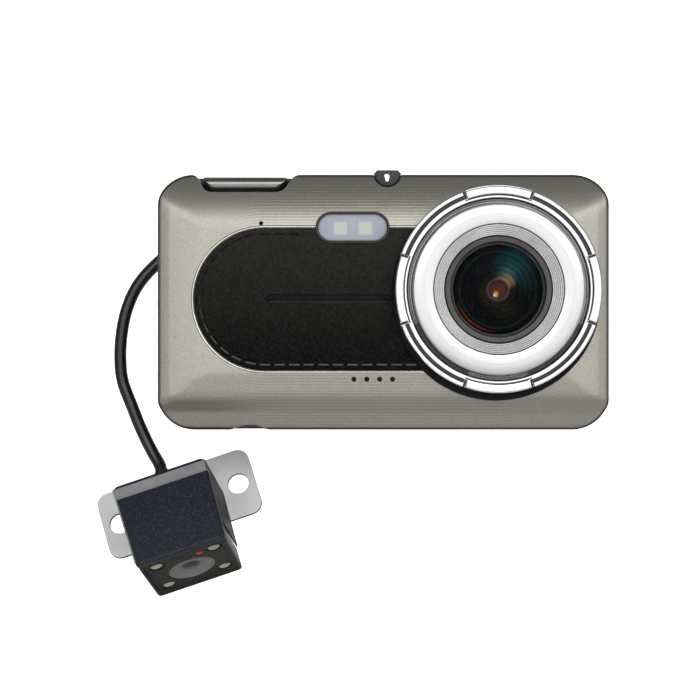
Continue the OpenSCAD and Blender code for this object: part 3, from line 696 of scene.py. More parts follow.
for k in range(1, 12):
    t = k / 11
    ring = []
    for x, z in last_inner:
        sx, sz = stadium(x, z, INLAY_EDGE)
        px, pz = x + (sx - x) * t, z + (sz - z) * t
        ring.append((px, skin(px, pz), pz))
    rings.append(ring)
rings.append([(x, FACE_Y + 0.72, z) for x, _, z in rings[-1]])


def filleted(points, r, n=5):
    """A polygon in X and Z with its corners rounded."""
    done = []
    for i, p in enumerate(points):
        p, before, after = Vector(p), Vector(points[i - 1]), Vector(points[(i + 1) % len(points)])
        a = p + (before - p).normalized() * r
        b = p + (after - p).normalized() * r
        for k in range(n + 1):
            t = k / n
            q = a * (1 - t) ** 2 + 2 * p * t * (1 - t) + b * t ** 2
            done.append((q.x, q.y))
    return done


def shifted(points, x, z):
    return [(px + x, pz + z) for px, pz in points]


def lamp_edge(g, n=16):
    return shifted(outline(LAMP_W + 2 * g, LAMP_H + 2 * g, LAMP_H / 2 + g - 0.01, n), LAMP_X, LAMP_Z)


def lug_edge(g):
    arc = [((3.15 + g) * math.cos(a), (3.15 + g) * math.sin(a) + 0.2) for a in
           (math.pi * (1 + k / 24) for k in range(25))]
    return shifted(arc + [(2.4 + g, 1 + g), (-2.4 - g, 1 + g)], 1, BODY_H / 2)


BAY_X = -32.5
bay_cut = filleted([(BAY_X - 16, 40), (BAY_X - 16, 30.02), (BAY_X - 11.3, 30.02), (BAY_X - 9.2, 25.75), (BAY_X + 8.9, 25.75),
                    (BAY_X + 11.7, 30.02), (BAY_X + 16, 30.02), (BAY_X + 16, 40)], 1.6)
at_lens = Matrix.Translation(LENS)
cuts = [moved(rod(24.1, -20, 2, 160), at_lens), prism(lamp_edge(0.62), -20, 2), prism(bay_cut, -20, 2), prism(lug_edge(0.12), -20, 2),
        moved(rod(0.5, -20, -3, 20), Matrix.Translation((-28.5, 0, 18.3))),
        moved(lathe([(0.01, -12), (12.0, -12), (9.7, 1), (0.01, 1)], 128, closed=False), Matrix.Translation((-31.5, 0, -38.95)))]
for k in range(4):
    cuts.append(moved(rod(0.6, -20, -3, 20), Matrix.Translation((-6.9 + 3 * k, 0, -18))))
shell = piece("shell_front", *loft(rings, closed_along=False, capped=True), SHELL, stands_for=["front_shell"])
carve(shell, [join(*cuts)])


piece("mic_cloth", *moved(rod(0.75, -6.35, -6.05, 20), Matrix.Translation((-28.5, 0, 18.3))), MATT)


# ---- Main unit: leather, trim, stitches and lamp ----


def inlay_edge(r, edge=40, n=48):
    """A full stadium: the part under the lens ring is cut away afterwards."""
    left = [(INLAY_X + r * math.cos(a), INLAY_Z + r * math.sin(a)) for a in
            (math.pi / 2 + math.pi * k / n for k in range(n + 1))]
    right = [(LENS.x + r * math.cos(a), INLAY_Z + r * math.sin(a)) for a in
             (-math.pi / 2 + math.pi * k / n for k in range(n + 1))]
    points = left + right
    full = []
    for p, q in zip(points, points[1:] + points[:1]):
        steps = edge if math.dist(p, q) > 4 else 1
        full += [tuple(a + (b - a) * s / steps for a, b in zip(p, q)) for s in range(steps)]
    return full


rings = [[(x, FACE_Y + 0.68, z) for x, z in inlay_edge(INLAY_R - 0.03)]]
for inset, y in ((0.03, 0.25), (0.1, 0.1), (0.25, 0.02), (0.5, -0.04), (0.95, -0.1), (1.15, -0.1), (1.4, -0.04), (1.65, -0.13), (1.9, -0.17),
                 (3, -0.27), (4.5, -0.38), (6.5, -0.5), (8.5, -0.58), (11, -0.64), (14, -0.67)):
    rings.append([(x, FACE_Y + y, z) for x, z in inlay_edge(INLAY_R - inset)])
leather_piece = piece("leather_panel", *loft(rings, closed_along=False, capped=True), LEATHER, stands_for=["leather_inlay"])
groove = moved(slab(29.2, 1.75, 0.85, -9.5, -7.8, 0.12, 6), Matrix.Translation((-12.7, 0, 0.86)))
carve(leather_piece, [join(moved(rod(24.1, -20, 2, 160), at_lens), prism(lamp_edge(0.62), -20, 2)), groove])

insert = moved(slab(29.1, 1.6, 0.78, -8.05, -7.79, 0.05, 6), Matrix.Translation((-12.7, 0, 0.86)))
piece("inlay_groove", *insert, MATT)
# Painted highlight: a thin grey rod along the groove's lower edge, standing in for the light caught there.
lip_painted_highlight = sweep([(x, -8.62, 0.03) for x in (-26.3, -18, -8, 0.9)], disc(0.13, 8), up=(0, 0, 1))
piece("inlay_groove_painted_highlight", *lip_painted_highlight, MID_GREY)

trim_section = [(-0.24, -0.6), (0.24, -0.6)] + [(0.24 * math.cos(a), 0.24 * math.sin(a)) for a in (math.pi * k / 8 for k in range(9))]
path = [(x, FACE_Y, z) for x, z in inlay_edge(INLAY_R + 0.31)]
trim = piece("inlay_trim_ring", *sweep(path, [(s, u) for s, u in trim_section], closed=True, up=(0, -1, 0)), TRIM,
             stands_for=["inlay_trim"])
carve(trim, [join(moved(rod(24.1, -20, 2, 160), at_lens), prism(lamp_edge(0.62), -20, 2))])

stitches = []
SEAM_R = INLAY_R - 1.4
bends = int(math.pi * SEAM_R / 3.4)
spots = [(INLAY_X + SEAM_R * math.cos(a), INLAY_Z + SEAM_R * math.sin(a), a - math.pi / 2) for a in
         (math.pi / 2 + math.pi * i / bends for i in range(1, bends))]
spots += [(INLAY_X + 3.4 * i, INLAY_Z + SEAM_R, 0) for i in range(3)]
spots += [(INLAY_X + 3.4 * i, INLAY_Z - SEAM_R, 0) for i in range(11)]
for x, z, a in spots:
    points = []
    for k in range(9):
        t = k / 8 * 2 - 1
        points.append((t * 1.15, -0.04 - 0.16 * (1 - t ** 4), 0))
    part = sweep(points, [(s * 1.15, u) for s, u in disc(0.21, 8)], up=(0, 0, 1))
    stitches.append(moved(part, Matrix.Translation((x, FACE_Y, z)) @ Matrix.Rotation(-a, 4, "Y")))
piece("inlay_stitches", *join(*stitches), THREAD, stands_for=["inlay_stitching"])

rings = [[(x, y, z) for x, z in lamp_edge(-0.6)] for y in (-7.6, -6.4)][:1]
for inset, y in ((0.0, -7.5), (0.0, -7.75), (0.1, -8.02), (0.35, -8.22), (0.8, -8.36), (1.5, -8.44), (2.2, -8.47)):
    rings.append([(x, y, z) for x, z in lamp_edge(-0.02 - inset)])
piece("lamp_lens", *loft(rings, closed_along=False, capped=True), DIFFUSER, stands_for=["lamp_window"])
path = [(x, FACE_Y, z) for x, z in lamp_edge(0.3)]
bezel_section = [(-0.26, -1.5), (0.26, -1.5)] + [(0.26 * math.cos(a), 0.26 * math.sin(a)) for a in (math.pi * k / 8 for k in range(9))]
piece("lamp_rim", *sweep(path, bezel_section, closed=True, up=(0, -1, 0)), MID_GREY, stands_for=["lamp_bezel"])
piece("lamp_tray", *prism(lamp_edge(-0.25), -5.9, -5.5), TRAY)
leds = [block((x - 1.6, -7.35, LAMP_Z - 1.7), (x + 1.6, -5.5, LAMP_Z + 1.4), 0.3) for x in (-10.1, -4.2)]
piece("lamp_chips", *join(*leds), LAMP_CHIP, stands_for=["lamp_leds"])


# ---- Lens ----


def base_ring():
    """The chrome ring: four raised arcs, four lower arcs with a channel, and eight notches."""
    high = [(21.15, -3.3), (21.15, -11.9), (21.3, -12.2), (21.65, -12.2), (21.72, -12), (21.75, -11.4), (21.98, -11.4), (22, -12.75),
            (22.1, -12.95), (22.25, -13), (23.6, -13), (23.85, -12.85), (24, -12.5), (24, -3.3)]
    low = [(21.15, -3.3), (21.15, -11.9), (21.3, -12.2), (22.05, -12.2), (22.2, -12.1), (22.25, -11.4), (22.4, -10.9), (22.8, -10.9),
           (22.95, -11.3), (23, -11.95), (23.1, -12.1), (23.75, -12.1), (24, -11.8), (24, -3.3)]
    notch = [(21.15, -3.3), (21.15, -11.9), (21.3, -12.1), (21.65, -12.1), (21.72, -11.8), (21.75, -10.9), (21.98, -10.6), (22, -10.5),
             (22.1, -10.5), (22.25, -10.5), (23.6, -10.5), (23.85, -10.55), (24, -10.6), (24, -3.3)]
    stops = []
    for quarter in range(4):
        q = 90 * quarter
        stops += [(q - 18.6, high), (q, high), (q + 18.6, high), (q + 18.8, notch), (q + 20.4, notch), (q + 20.6, low), (q + 45, low),
                  (q + 69.4, low), (q + 69.6, notch), (q + 71.2, notch)]
    rings = []
    for i, (a, profile) in enumerate(stops):
        b, following = stops[(i + 1) % len(stops)]
        if b < a:
            b += 360
        steps = max(1, round((b - a) / 1.6)) if following is profile else 1
        for k in range(steps):
            angle = math.radians(a + (b - a) * k / steps)
            rings.append([(r * math.cos(angle), y, r * math.sin(angle)) for r, y in profile])
    return loft(rings)


def arc_bar(r0, r1, y0, y1, a0, a1, steps=40):
    """A bar bent round the lens axis, between two angles in degrees."""
    rings = []
    for k in range(steps + 1):
        a = math.radians(a0 + (a1 - a0) * k / steps)
        rings.append([(r * math.cos(a), y, r * math.sin(a)) for r, y in ((r0, y0), (r0, y1), (r1, y1), (r1, y0))])
    return loft(rings, closed_along=False, capped=True)


piece("ring_base", *base_ring(), CHROME, at=ON_LENS, stands_for=["lens_base_ring"], sharp=28)
piece("ring_seal", *lathe([(20.06, -3.3), (20.06, -10.2), (20.15, -10.4), (20.4, -10.45), (20.6, -10.9), (20.85, -11.0), (20.98, -10.8), (20.98, -3.3)]), GAP_GREY,
      at=ON_LENS, stands_for=["lens_seal_ring"])
keys = [arc_bar(20.08, 20.8, -10.2, -11.35, a0, a1) for a0, a1 in ((203, 250), (290, 337))]
for q in (0, 90, 180, 270):
    keys.append(arc_bar(21.77, 21.96, -11.3, -12.15, q - 18.6, q + 18.6))
    keys.append(arc_bar(22.3, 22.9, -10.8, -11.8, q + 20.6, q + 69.4))
    keys += [arc_bar(22.15, 23.8, -10.3, -11.1, a, a + 1.3, 3) for a in (q + 18.95, q + 69.75)]
piece("ring_keys", *join(*keys), BLACK, at=ON_LENS)
# Painted shadow: a matt black ring set 1.25 mm low under the chrome ring, so that only a dark crescent shows below it,
# standing in for its cast shadow.
shadow_crescent_profile = [(22.6, -5.2), (22.6, -8.8), (24.1, -8.9), (24.45, -8.5), (24.55, -7.6), (24.6, -5.2)]
piece("ring_painted_shadow_crescent", *moved(lathe(shadow_crescent_profile), Matrix.Translation((-0.3, 0, -1.25))), MATT, at=ON_LENS)
piece("ring_face", *lathe([(17.9, -3.25), (17.9, -12.8), (15.05, -12.8), (15.05, -13.7), (15.2, -13.93), (15.5, -14), (17.3, -14),
                           (17.33, -13.97), (17.37, -13.97), (17.4, -14), (19.25, -14), (19.6, -13.85), (19.85, -13.5), (19.92, -12),
                           (19.92, -3.25)]), SATIN, at=ON_LENS, stands_for=["lens_face_ring"], sharp=30)
stairs = [(12.47, -10.6), (14.9, -10.6)]
for k in range(6):
    r, y = 14.9 - 0.405 * k, -13.75 + 0.36 * k
    stairs += [(r, y), (r - 0.27, y), (r - 0.33, y + 0.05), (r - 0.395, y + 0.34)]
piece("ring_steps", *lathe(stairs), STEPS, at=ON_LENS, stands_for=["lens_step_ring"], sharp=25)
piece("ring_inner", *lathe([(10.97, -10.02), (10.97, -11.9), (11.15, -12.15), (12.2, -12.2), (12.38, -12.0), (12.38, -10.02)]), MID_GREY,
      at=ON_LENS, stands_for=["lens_trim_ring"])
dome = [(0.01, -10.52), (10.88, -10.52)] + [(10.88 * k / 12, 32 - 12.9 - math.sqrt(32 ** 2 - (10.88 * k / 12) ** 2)) for k in range(12, 0, -1)] + [(0.01, -12.9)]
piece("glass_front", *lathe(dome, 128, closed=False), LENS_GLASS, at=ON_LENS, stands_for=["lens_front_glass"], sharp=50)


def painted_lens_reflections():
    """Dark lens glass with painted reflections: teal and gold-brown patches, concentric rings, a red arc, a violet ring
    and a gold highlight with a bright glint are painted into its colour.
    """
    g = Graph("lens_painted_reflections", (0.004, 0.005, 0.006), Roughness=0.12, Specular_IOR_Level=0.02)
    x, _, z = g.xyz()
    centre = MID + LENS

    def spot(sx, sz, radius, wide=1.0, edge=0.0):
        dx = g.math("DIVIDE", g.math("SUBTRACT", x, centre.x + sx), wide)
        dz = g.math("SUBTRACT", z, centre.z + sz)
        far = g.math("SQRT", g.math("ADD", g.math("MULTIPLY", dx, dx), g.math("MULTIPLY", dz, dz)))
        return g.span(far, radius * edge, radius, 1, 0), far

    _, reach = spot(0, 0, 1)
    rings = g.math("MULTIPLY", g.math("SINE", g.math("MULTIPLY", reach, 5.2)), 0.5)
    color = g.ramp(g.span(reach, 0, 10.5), [(0.0, (0.012, 0.008, 0.006)), (0.30, (0.016, 0.011, 0.007)), (0.42, (0.004, 0.004, 0.005)),
                                            (0.80, (0.003, 0.004, 0.005)), (0.86, (0.010, 0.016, 0.015)), (0.89, (0.003, 0.004, 0.004)), (1.0, (0.002, 0.002, 0.002))])
    # Painted reflections: teal and grey-green patches at the upper right, a gold-brown one near the middle and brown
    # ones lower down.
    for sx, sz, radius, wide, edge, tint, share in (
            (3.6, 5.4, 5.2, 1.1, 0.1, (0.010, 0.075, 0.085), 0.85), (6.4, 1.5, 3.4, 0.8, 0.0, (0.008, 0.035, 0.042), 0.6),
            (2.0, 3.2, 2.3, 1.1, 0.0, (0.16, 0.20, 0.19), 0.65), (1.6, 1.7, 1.9, 1.5, 0.35, (0.34, 0.21, 0.10), 0.8),
            (-1.4, -1.2, 3.4, 1.0, 0.3, (0.030, 0.024, 0.014), 0.8), (1.6, -4.6, 2.8, 1.3, 0.1, (0.020, 0.017, 0.010), 0.7)):
        mask, _ = spot(sx, sz, radius, wide, edge)
        color = g.mix(g.math("MULTIPLY", mask, share), color, tint)
    shade = g.span(rings, -0.5, 0.5, 0.55, 1.0)
    color = g.mix(shade, (0.002, 0.002, 0.002), color)
    # Painted reflection: a red arc near the edge at the lower left.
    arc, _ = spot(-4.6, -5.6, 6.0, 1.0, 0.5)
    rim = g.math("MULTIPLY", g.span(g.math("ABSOLUTE", g.math("SUBTRACT", reach, 9.75)), 0.05, 0.25, 1, 0), arc)
    color = g.mix(rim, color, (0.20, 0.03, 0.015))
    pupil = g.span(reach, 2.25, 2.5, 1, 0)
    deep, _ = spot(0.2, -0.2, 2.6, 1.0, 0.2)
    color = g.mix(pupil, color, (0.035, 0.016, 0.016))
    color = g.mix(g.math("MULTIPLY", pupil, deep), color, (0.10, 0.035, 0.02))
    # Painted highlight: a gold spot with a bright glint at its middle, below and left of the centre.
    gold_painted_highlight, _ = spot(-0.55, -1.1, 0.95, 0.8, 0.2)
    color = g.mix(gold_painted_highlight, color, (0.72, 0.42, 0.10))
    painted_glint, _ = spot(-0.85, -1.35, 0.38, 0.8, 0.3)
    color = g.mix(painted_glint, color, (1.0, 0.93, 0.62))
    violet = g.span(g.math("ABSOLUTE", g.math("SUBTRACT", reach, 2.45)), 0.08, 0.3, 1, 0)
    color = g.mix(g.math("MULTIPLY", violet, 0.75), color, (0.10, 0.065, 0.10))
    g.color(color)
    g.rough(g.span(g.noise(900, 2), 0.3, 0.7, 0.1, 0.15))
    return g.mat


LENS_PAINTED_REFLECTIONS = painted_lens_reflections()
middle = [(0.01, -9.9), (10.2, -9.9), (10.22, -10.02)] + [(10.2 * k / 10, 39.6 - math.sqrt(50 ** 2 - (10.2 * k / 10) ** 2)) for k in range(9, 0, -1)] + [(0.01, -10.4)]
piece("glass_middle", *lathe(middle, 128, closed=False), LENS_PAINTED_REFLECTIONS, at=ON_LENS, sharp=50)
inner = [(0.01, -6.65), (4.55, -6.65)] + [(4.55 * k / 10, -0.2 - math.sqrt(64 - (4.55 * k / 10) ** 2)) for k in range(10, 0, -1)] + [(0.01, -8.2)]
piece("glass_inner", *lathe(inner, 96, closed=False), LENS_PAINTED_REFLECTIONS, at=ON_LENS, stands_for=["lens_inner_element"], sharp=50)
funnel = [(10.25, -9.85), (10.25, -5.2), (9.7, -5.2), (9.7, -8.5)]
back = [(5.5, -6.4), (5.5, -5.7), (4.75, -5.7), (4.75, -7.35)]
ribs = []
for k in range(7):
    r, y = 4.95 + 0.66 * k, -7.5 - 0.32 * k
    ribs += [(r, y), (r + 0.56, y), (r + 0.6, y - 0.14)]
piece("lens_tunnel", *lathe(funnel + back + ribs), BAFFLE, at=ON_LENS, stands_for=["lens_baffle"], sharp=25)


# ---- Main unit: sockets, housing, buttons and screen ----

lug_rings = []
for y, inset in ((0.3, 0), (-3.9, 0), (-4.2, 0.12), (-4.36, 0.35), (-4.4, 0.6)):
    scale = 1 - inset / 3.3
    lug_rings.append([(1 + (x - 1) * scale, y, 29.2 + (z - 29.2) * scale) for x, z in lug_edge(0)])
lug_piece = piece("mount_lug", *loft(lug_rings, closed_along=False, capped=True), BLACK)
socket = piece("mount_socket", *join(
    block((-6, 0.32, 25.62), (-0.82, 8.9, 30), 0.25), block((2.82, 0.32, 25.62), (8, 8.9, 30), 0.25),
    block((-0.9, 0.32, 25.62), (2.9, 1.98, 30), 0.2)), BLACK, stands_for=["bracket_socket"])
drop_hole = [(0.9 + 0.65 * math.cos(a), 29.75 + 0.65 * math.sin(a)) for a in (math.pi * k / 12 for k in range(13))]
drop_hole += [(0.9 - 0.36 * math.cos(a), 28.65 - 0.36 * math.sin(a)) for a in (math.pi * k / 10 for k in range(11))]
carve(lug_piece, [prism(drop_hole, -20, 3)])
carve(socket, [prism([(-2.5, 26.4), (4.5, 26.4), (4.5, 28), (-2.5, 28)], 2, 12), prism(drop_hole, -20, 3)], tangled=True)

bay_bar = filleted([(BAY_X - 10.35, 29.5), (BAY_X - 8.55, 25.98), (BAY_X + 8.15, 25.98), (BAY_X + 10.5, 29.5)], 1.3)
bay_rings = [[(x, 5.4, z) for x, z in bay_bar]]
for k in range(9):
    a = math.radians(90 * k / 8)
    inset = 1.62 * (1 - math.cos(a))
    sx, sz = 1 - inset / 10.5, 1 - inset / 1.76
    bay_rings.append([(BAY_X + (x - BAY_X) * sx, -1.9 - 1.5 * math.sin(a), 27.74 + (z - 27.74) * sz) for x, z in bay_bar])
bay = piece("port_recess", *loft(bay_rings, closed_along=False, capped=True), BAY_METAL, stands_for=["port_bay"])
carve(bay, [block((BAY_X - 3.95, -0.55, 20), (BAY_X + 3.95, 3.55, 40), 0.3)])
usb = piece("usb_shell", *block((BAY_X - 3.85, -0.45, 21), (BAY_X + 3.85, 2.38, 29), 0.35), STEEL, stands_for=["usb_socket"])
carve(usb, [block((BAY_X - 3.45, -0.05, 22), (BAY_X + 3.45, 1.98, 30), 0.3)])
usb_tongue = piece("usb_tongue", *block((BAY_X - 2.5, 0.7, 22), (BAY_X + 2.5, 1.3, 28.2), 0.1), BLACK)

HALF_W, HALF_H = BODY_W / 2 - 0.2, BODY_H / 2 - 0.2


def housing_ring(inset, y):
    return [(x, y, z) for x, z in outline(2 * HALF_W - 2 * inset, 2 * HALF_H - 2 * inset, CORNER - 0.2 - inset, 14)]


rings = [housing_ring(1.6, 7.4), housing_ring(1.6, 0.02), housing_ring(0.15, 0.02), housing_ring(0, 0.15)]
rings += [housing_ring(0, 1.2), housing_ring(0.12, 1.32), housing_ring(0.12, 1.5), housing_ring(0, 1.62)]
for k in range(9):
    a = math.radians(90 * k / 8)
    rings.append(housing_ring(2.3 * (1 - math.cos(a)), 6.4 + 2.6 * math.sin(a)))
housing = piece("shell_rear", *loft(rings, closed_along=False, capped=True), HOUSING, stands_for=["rear_housing"])
cuts = [moved(slab(90.2, 50.2, 2.1, 8, 12, 0.05), Matrix()), prism(bay_cut, -2, 5.6),
        block((-6.12, -2, 25.45), (8.12, 12, 32), 0.05), block((-38.3, 0.7, -31), (-26.7, 2.1, -26), 0.3),
        moved(rod(2.65, -1, 12), Matrix.Translation(JACK))]
cuts += [block((-54, 1.35, z - 2.75), (-50.8, 4.25, z + 2.75), 0.5) for z in BUTTON_ZS]
cuts += [moved(rod(1.9, 7.6, 12), Matrix.Translation((sx * 47.5, 0, sz * 24.5))) for sx in (-1, 1) for sz in (-1, 1)]
carve(housing, [join(*cuts)])

screen = slab(89.9, 49.9, 1.95, 8.02, 8.98, 0.22)
glass = SCREEN
piece("screen_cover", *screen, glass, stands_for=["display_glass"])
g = Graph("screen_area", (0.02, 0.024, 0.03), Roughness=0.2, Coat_Weight=1.0, Coat_Roughness=0.04)
x, _, z = g.xyz()
fine = g.math("MULTIPLY", g.math("SINE", g.math("MULTIPLY", x, 40)), g.math("SINE", g.math("MULTIPLY", z, 40)))
g.color(g.ramp(g.math("ADD", g.math("MULTIPLY", fine, 0.2), g.noise(30, 2)), [(0.3, (0.016, 0.019, 0.024)), (0.7, (0.026, 0.030, 0.038))]))
piece("screen_active", *slab(80.6, 45, 0.4, 8.97, 9.01, 0.01, 3, 1), g.mat)

screws = []
for sx in (-1, 1):
    for sz in (-1, 1):
        at = Matrix.Translation((sx * 47.5, 0, sz * 24.5))
        head = lathe([(0.01, 7.62), (1.75, 7.62), (1.75, 8.3), (1.45, 8.62), (0.75, 8.7), (0.75, 8.25), (0.01, 8.25)], 40, closed=False)
        screws.append(moved(join(head, rod(0.9, -2.8, 7.7, 20)), at))
        for turn in (0, 60, 120):
            screws.append(moved(block((-0.75, 8.2, -0.13), (0.75, 8.27, 0.13), 0.03), at @ Matrix.Rotation(math.radians(turn), 4, "Y")))
piece("case_screws", *join(*screws), SCREW, stands_for=["housing_screws"])
piece("jack_sleeve", *moved(lathe([(1.3, -1.4), (2.58, -1.4), (2.58, 8.9), (2.4, 9.0), (1.55, 9.0), (1.3, 8.8)], 48), Matrix.Translation(JACK)),
      BLACK, stands_for=["av_socket"])

NAMES = ("power", "menu", "up", "ok", "down")
for name, z in zip(NAMES, BUTTON_ZS):
    cap = slab(2.6, 5.2, 1.15, -0.9, 2.0, 0.35, 8)
    turned_cap = moved(cap, Matrix.Translation((-52.8, 2.8, z)) @ Matrix.Rotation(math.radians(-90), 4, "Z") @ Matrix.Translation((0, 0.3, 0)))
    ridge = [moved(block((-0.05, -0.7, dz - 0.12), (0.12, 0.7, dz + 0.12), 0.05), Matrix.Translation((-53.48, 2.8, z))) for dz in (-0.7, 0, 0.7)]
    foot = block((-51.15, 1.1, z - 3.05), (-50.65, 4.5, z + 3.05), 0.1)
    stem = block((-50.75, 2.05, z - 0.75), (-49.95, 3.55, z + 0.75), 0.1)
    # The power button takes the pale copy of the finish as a painted reflection.
    piece(f"button_{name}", *join(turned_cap, foot, stem, *ridge), BUTTON_PAINTED_REFLECTION if name == "power" else BUTTON,
          stands_for=[f"{name}_button"], body=f"{name}_button_body")

card = join(slab(11, 14.9, 0.8, 1.02, 1.78, 0.08, 5), moved(block((-5.2, 1.0, -0.6), (5.2, 1.16, 0.25), 0.1), Matrix.Translation((0, 0, -7))))
piece("card", *moved(card, Matrix.Translation((-32.5, 0, -22))), BLACK, stands_for=["memory_card"], body="card_body")


# ---- Rear camera ----

hood_top, hood_front, hood_back = 12, -10.4, 10.7


def hood_profile(inset, half, r=0.7):
    """Section across the hood: a flat top with rounded shoulders."""
    w, top = half - inset, hood_top - inset
    pts = []
    for cx, start in ((-w + r, 180), (w - r, 90)):
        for k in range(7):
            a = math.radians(start - 90 * k / 6)
            pts.append((cx + r * math.cos(a), top - r + r * math.sin(a)))
    return pts


def hood_width(y):
    """The hood is a little narrower at its front."""
    return 11.15 + 0.45 * (y + 5) / 15.7


hood_rings = []
for y, inset in ((hood_front, 0.6), (hood_front + 0.12, 0.25), (hood_front + 0.5, 0.04), (hood_front + 0.9, 0), (hood_back - 3.7, 0), (hood_back - 3.45, 0.0),
                 (hood_back - 1.0, 0.0), (hood_back - 0.7, 0.1), (hood_back, 0.75)):
    half = hood_width(y)
    ring = [(x, y, z) for x, z in hood_profile(inset, half)]
    ring += [(half - inset, y, 10.12), (-half + inset, y, 10.12)]
    hood_rings.append(ring)
shade = piece("rear_shade", *loft(hood_rings, closed_along=False, capped=True), HOOD, at=REAR, stands_for=["rear_hood"])
parts = []
for sx in (-1, 1):
    skirt = []
    for y, inset in ((-4.95, 0.1), (-4.8, 0), (hood_back - 1.0, 0), (hood_back - 0.7, 0.06), (hood_back, 0.3)):
        x0, x1 = sx * 10.82, sx * (hood_width(y) - inset)
        skirt.append([(x0, y, 10.3), (x1, y, 10.3), (x1, y, -11.3), (x1 - sx * 0.12, y, -11.48), (x0, y, -11.48)])
    parts.append(loft(skirt, closed_along=False, capped=True))
piece("rear_shade_sides", *join(*parts), MATT, at=REAR)
seam_y = hood_back - 3.6
sw = hood_width(seam_y)
# Seam bead across the hood, coloured pale grey as a painted highlight along the seam.
seam = sweep([(-sw - 0.01, seam_y, 10.3), (-sw - 0.01, seam_y, 11.4), (-sw + 0.2, seam_y, 11.82), (-sw + 0.7, seam_y, 12.01), (sw - 0.7, seam_y, 12.01),
              (sw - 0.2, seam_y, 11.82), (sw + 0.01, seam_y, 11.4), (sw + 0.01, seam_y, 10.3)], disc(0.1, 6), up=(0, 1, 0))
piece("rear_shade_seam_painted_highlight", *seam, EYE_GREY, at=REAR)
strip = [[(x, y, z + 0.1) for x, z in hood_profile(0.0, hood_width(y))[3:-3]] for y in (seam_y + 0.15, hood_back - 1.0)]
strip = [ring + [(x, y, z - 0.12) for x, y, z in ring[::-1]] for ring in strip]
piece("rear_shade_strip", *loft(strip, closed_along=False, capped=True), STRIP, at=REAR)
# Painted highlight: a pale grey rod along the hood's left top edge, standing in for the highlight on its bevel.
edge = [(-hood_width(y) + 0.12, y, 11.9) for y in (hood_front + 0.6, -5, 0, 5, hood_back - 0.8)]
piece("rear_shade_painted_edge_highlight", *sweep(edge, disc(0.2, 8), up=(0, 0, 1)), EYE_GREY, at=REAR)
body = moved(slab(19.6, 22, 1.2, -5.04, 9.5, 0.3), Matrix.Translation((0, 0, -1)))
case = piece("rear_shell", *body, BLACK, at=REAR, stands_for=["rear_case"])
carve(case, [join(moved(slab(16.8, 19.2, 0.6, -6.1, 8, 0.1), Matrix.Translation((0, 0, -1)))),
             moved(rod(1.9, 6, 20, 32), Matrix.Translation((0, 0, 4)))], at=REAR)
ACROSS = Matrix.Rotation(math.radians(90), 4, "Z")
cap_shape = moved(slab(21.6, 22, 1.3, -10.65, -5.1, 0.45, 8), Matrix.Translation((0, 0, -1)))
cap = piece("rear_window", *cap_shape, CAP, at=REAR, stands_for=["rear_front_window"])
carve(cap, [moved(slab(20.3, 20.7, 0.8, -12, -3, 0.1), Matrix.Translation((0, 0, -1)))], at=REAR)
piece("rear_pane", *moved(slab(20.26, 20.66, 0.78, -10.6, -10.3, 0.08), Matrix.Translation((0, 0, -1))), SMOKED, at=REAR)
EYE_Z, RED_AT = -2, (3.4, 0, 5.6)
LED_SPOTS = [(x, 0, z) for x in (-7.1, 7.1) for z in (-7.9, 5.9)]
plate = piece("rear_face", *moved(slab(20.2, 20.6, 0.7, -9.85, -9.3, 0.05), Matrix.Translation((0, 0, -1))), CAP, at=REAR)
carve(plate, [join(moved(rod(5.75, -12, 0, 64), Matrix.Translation((0, 0, EYE_Z))), moved(rod(1.12, -12, 0, 32), Matrix.Translation(RED_AT)),
                   *[moved(rod(1.64, -12, 0, 32), Matrix.Translation(spot)) for spot in LED_SPOTS])], at=REAR)
AT_EYE = REAR @ Matrix.Translation((0, 0, EYE_Z))
piece("rear_eye_ring", *lathe([(2.15, -5.5), (2.15, -8.9), (2.35, -9.2), (4.6, -9.65), (4.75, -9.8), (5.4, -10.02), (5.7, -9.8), (5.7, -5.5)], 72),
      EYE_GREY, at=AT_EYE, stands_for=["rear_lens_ring"])
eye = [(0.01, -6.5), (2.12, -6.5)] + [(2.12 * k / 8, -4.6 - math.sqrt(25 - (2.12 * k / 8) ** 2)) for k in range(8, 0, -1)] + [(0.01, -9.6)]
piece("rear_eye", *lathe(eye, 72, closed=False), GLOSS, at=AT_EYE, stands_for=["rear_lens_glass"], sharp=50)
leds, rims = [], []
for spot in LED_SPOTS:
    at = Matrix.Translation(spot)
    leds.append(moved(lathe([(0.01, -6.5), (1.58, -6.5), (1.58, -9.5), (1.2, -9.85), (0.6, -9.97), (0.01, -10)], 32, closed=False), at))
    rims.append(moved(lathe([(1.6, -9.2), (1.6, -9.8), (1.75, -9.95), (1.95, -9.95), (2.05, -9.8), (2.05, -9.2)], 32), at))
piece("rear_lamps", *join(*leds), CREAM, at=REAR, stands_for=["rear_leds"])
piece("rear_lamp_rims", *join(*rims), MATT, at=REAR)
piece("rear_eye_red", *moved(lathe([(0.01, -6.5), (1.08, -6.5), (1.08, -9.6), (0.8, -9.9), (0.01, -10)], 28, closed=False),
                             Matrix.Translation(RED_AT)), SENSOR_RED, at=REAR, stands_for=["rear_light_sensor"])
gland = [(0.3, 4.2), (1.85, 4.2), (1.85, 9.5), (2.6, 9.55), (2.6, 11.2), (2.35, 11.5)]
for k in range(3):
    gland += [(2.2 - 0.15 * k, 11.5 + 0.8 * k), (2.2 - 0.15 * k, 11.95 + 0.8 * k), (1.85 - 0.1 * k, 12.0 + 0.8 * k), (1.85 - 0.1 * k, 12.25 + 0.8 * k)]
gland += [(1.62, 13.95), (0.3, 13.95)]
piece("rear_grommet", *moved(lathe(gland, 40, closed=False), Matrix.Translation((0, 0, 4))), BLACK, at=REAR, stands_for=["rear_gland"])

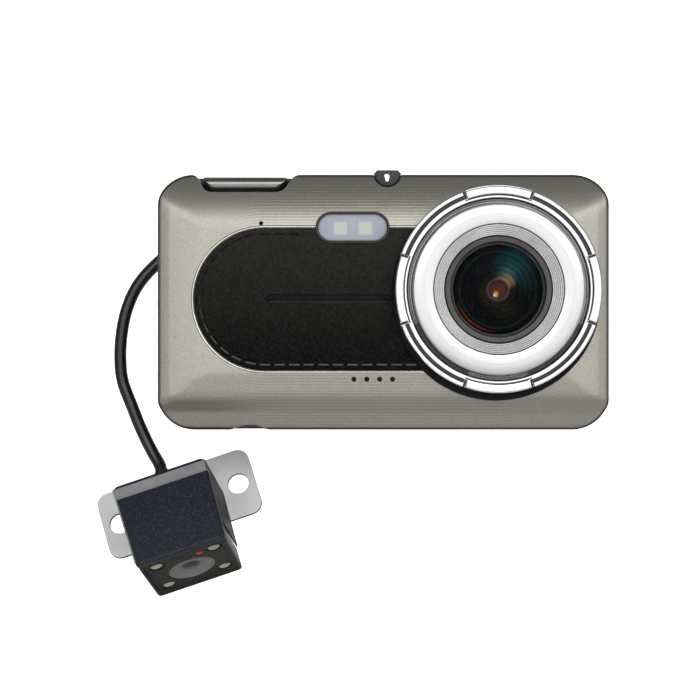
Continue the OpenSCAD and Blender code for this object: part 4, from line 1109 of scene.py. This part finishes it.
PLATE_Y, PLATE_Z = 12, -15
ear_plate = slab(39.6, 17.6, 3, -1, 0, 0.2, 10)
plate_part = moved(ear_plate, Matrix.Translation((0, PLATE_Y, PLATE_Z)) @ Matrix.Rotation(math.radians(-90), 4, "X"))
arms = []
for sx in (-1, 1):
    x0, x1 = sorted((sx * 10.08, sx * 10.72))
    arms.append(block((x0, -2.4, -14.6), (x1, 13.9, -2.6), 0.15))
bracket = piece("rear_mount", *join(plate_part), BRACKET, at=REAR, stands_for=["rear_bracket"], body="rear_bracket_body")
holes = [moved(rod(2.65, -5, 5, 48), Matrix.Translation((sx * 15.5, PLATE_Y, PLATE_Z)) @ Matrix.Rotation(math.radians(-90), 4, "X")) for sx in (-1, 1)]
carve(bracket, [join(*holes)], at=REAR)
# Painted shade: a matt black plate a hair larger than the bracket plate, so that its rim shows as a dark edge, standing
# in for the shade on the plate's edges.
painted_shade_plate = moved(slab(39.68, 17.68, 3.04, -0.88, -0.12, 0.02, 10), Matrix.Translation((0, PLATE_Y, PLATE_Z)) @ Matrix.Rotation(math.radians(-90), 4, "X"))
painted_shade_piece = piece("rear_mount_painted_edge_shade", *painted_shade_plate, MATT, at=REAR, body="rear_bracket_body")
carve(painted_shade_piece, [join(*[moved(rod(2.6, -5, 5, 48), Matrix.Translation((sx * 15.5, PLATE_Y, PLATE_Z)) @ Matrix.Rotation(math.radians(-90), 4, "X"))
                          for sx in (-1, 1)])], at=REAR)
arms_piece = piece("rear_mount_arms", *join(*arms), BRACKET, at=REAR, body="rear_bracket_body")
carve(arms_piece, [moved(rod(1.12, -20, 20, 32), Matrix.Translation((0, 1, -6)) @ ACROSS)], at=REAR)
pin = lathe([(0.01, 7.5), (0.85, 7.5), (0.85, 9.85), (1.05, 9.87), (1.05, 10.75), (0.85, 10.88), (0.01, 10.88)], 32, closed=False)
SIDEWAYS = Matrix.Rotation(math.radians(-90), 4, "Z")
pins = [moved(pin, Matrix.Translation((0, 1, -6)) @ SIDEWAYS),
        moved(pin, Matrix.Translation((0, 1, -6)) @ Matrix.Rotation(math.radians(90), 4, "Z"))]
piece("rear_pins", *join(*pins), SCREW, at=REAR, stands_for=["rear_pivot_pins"])
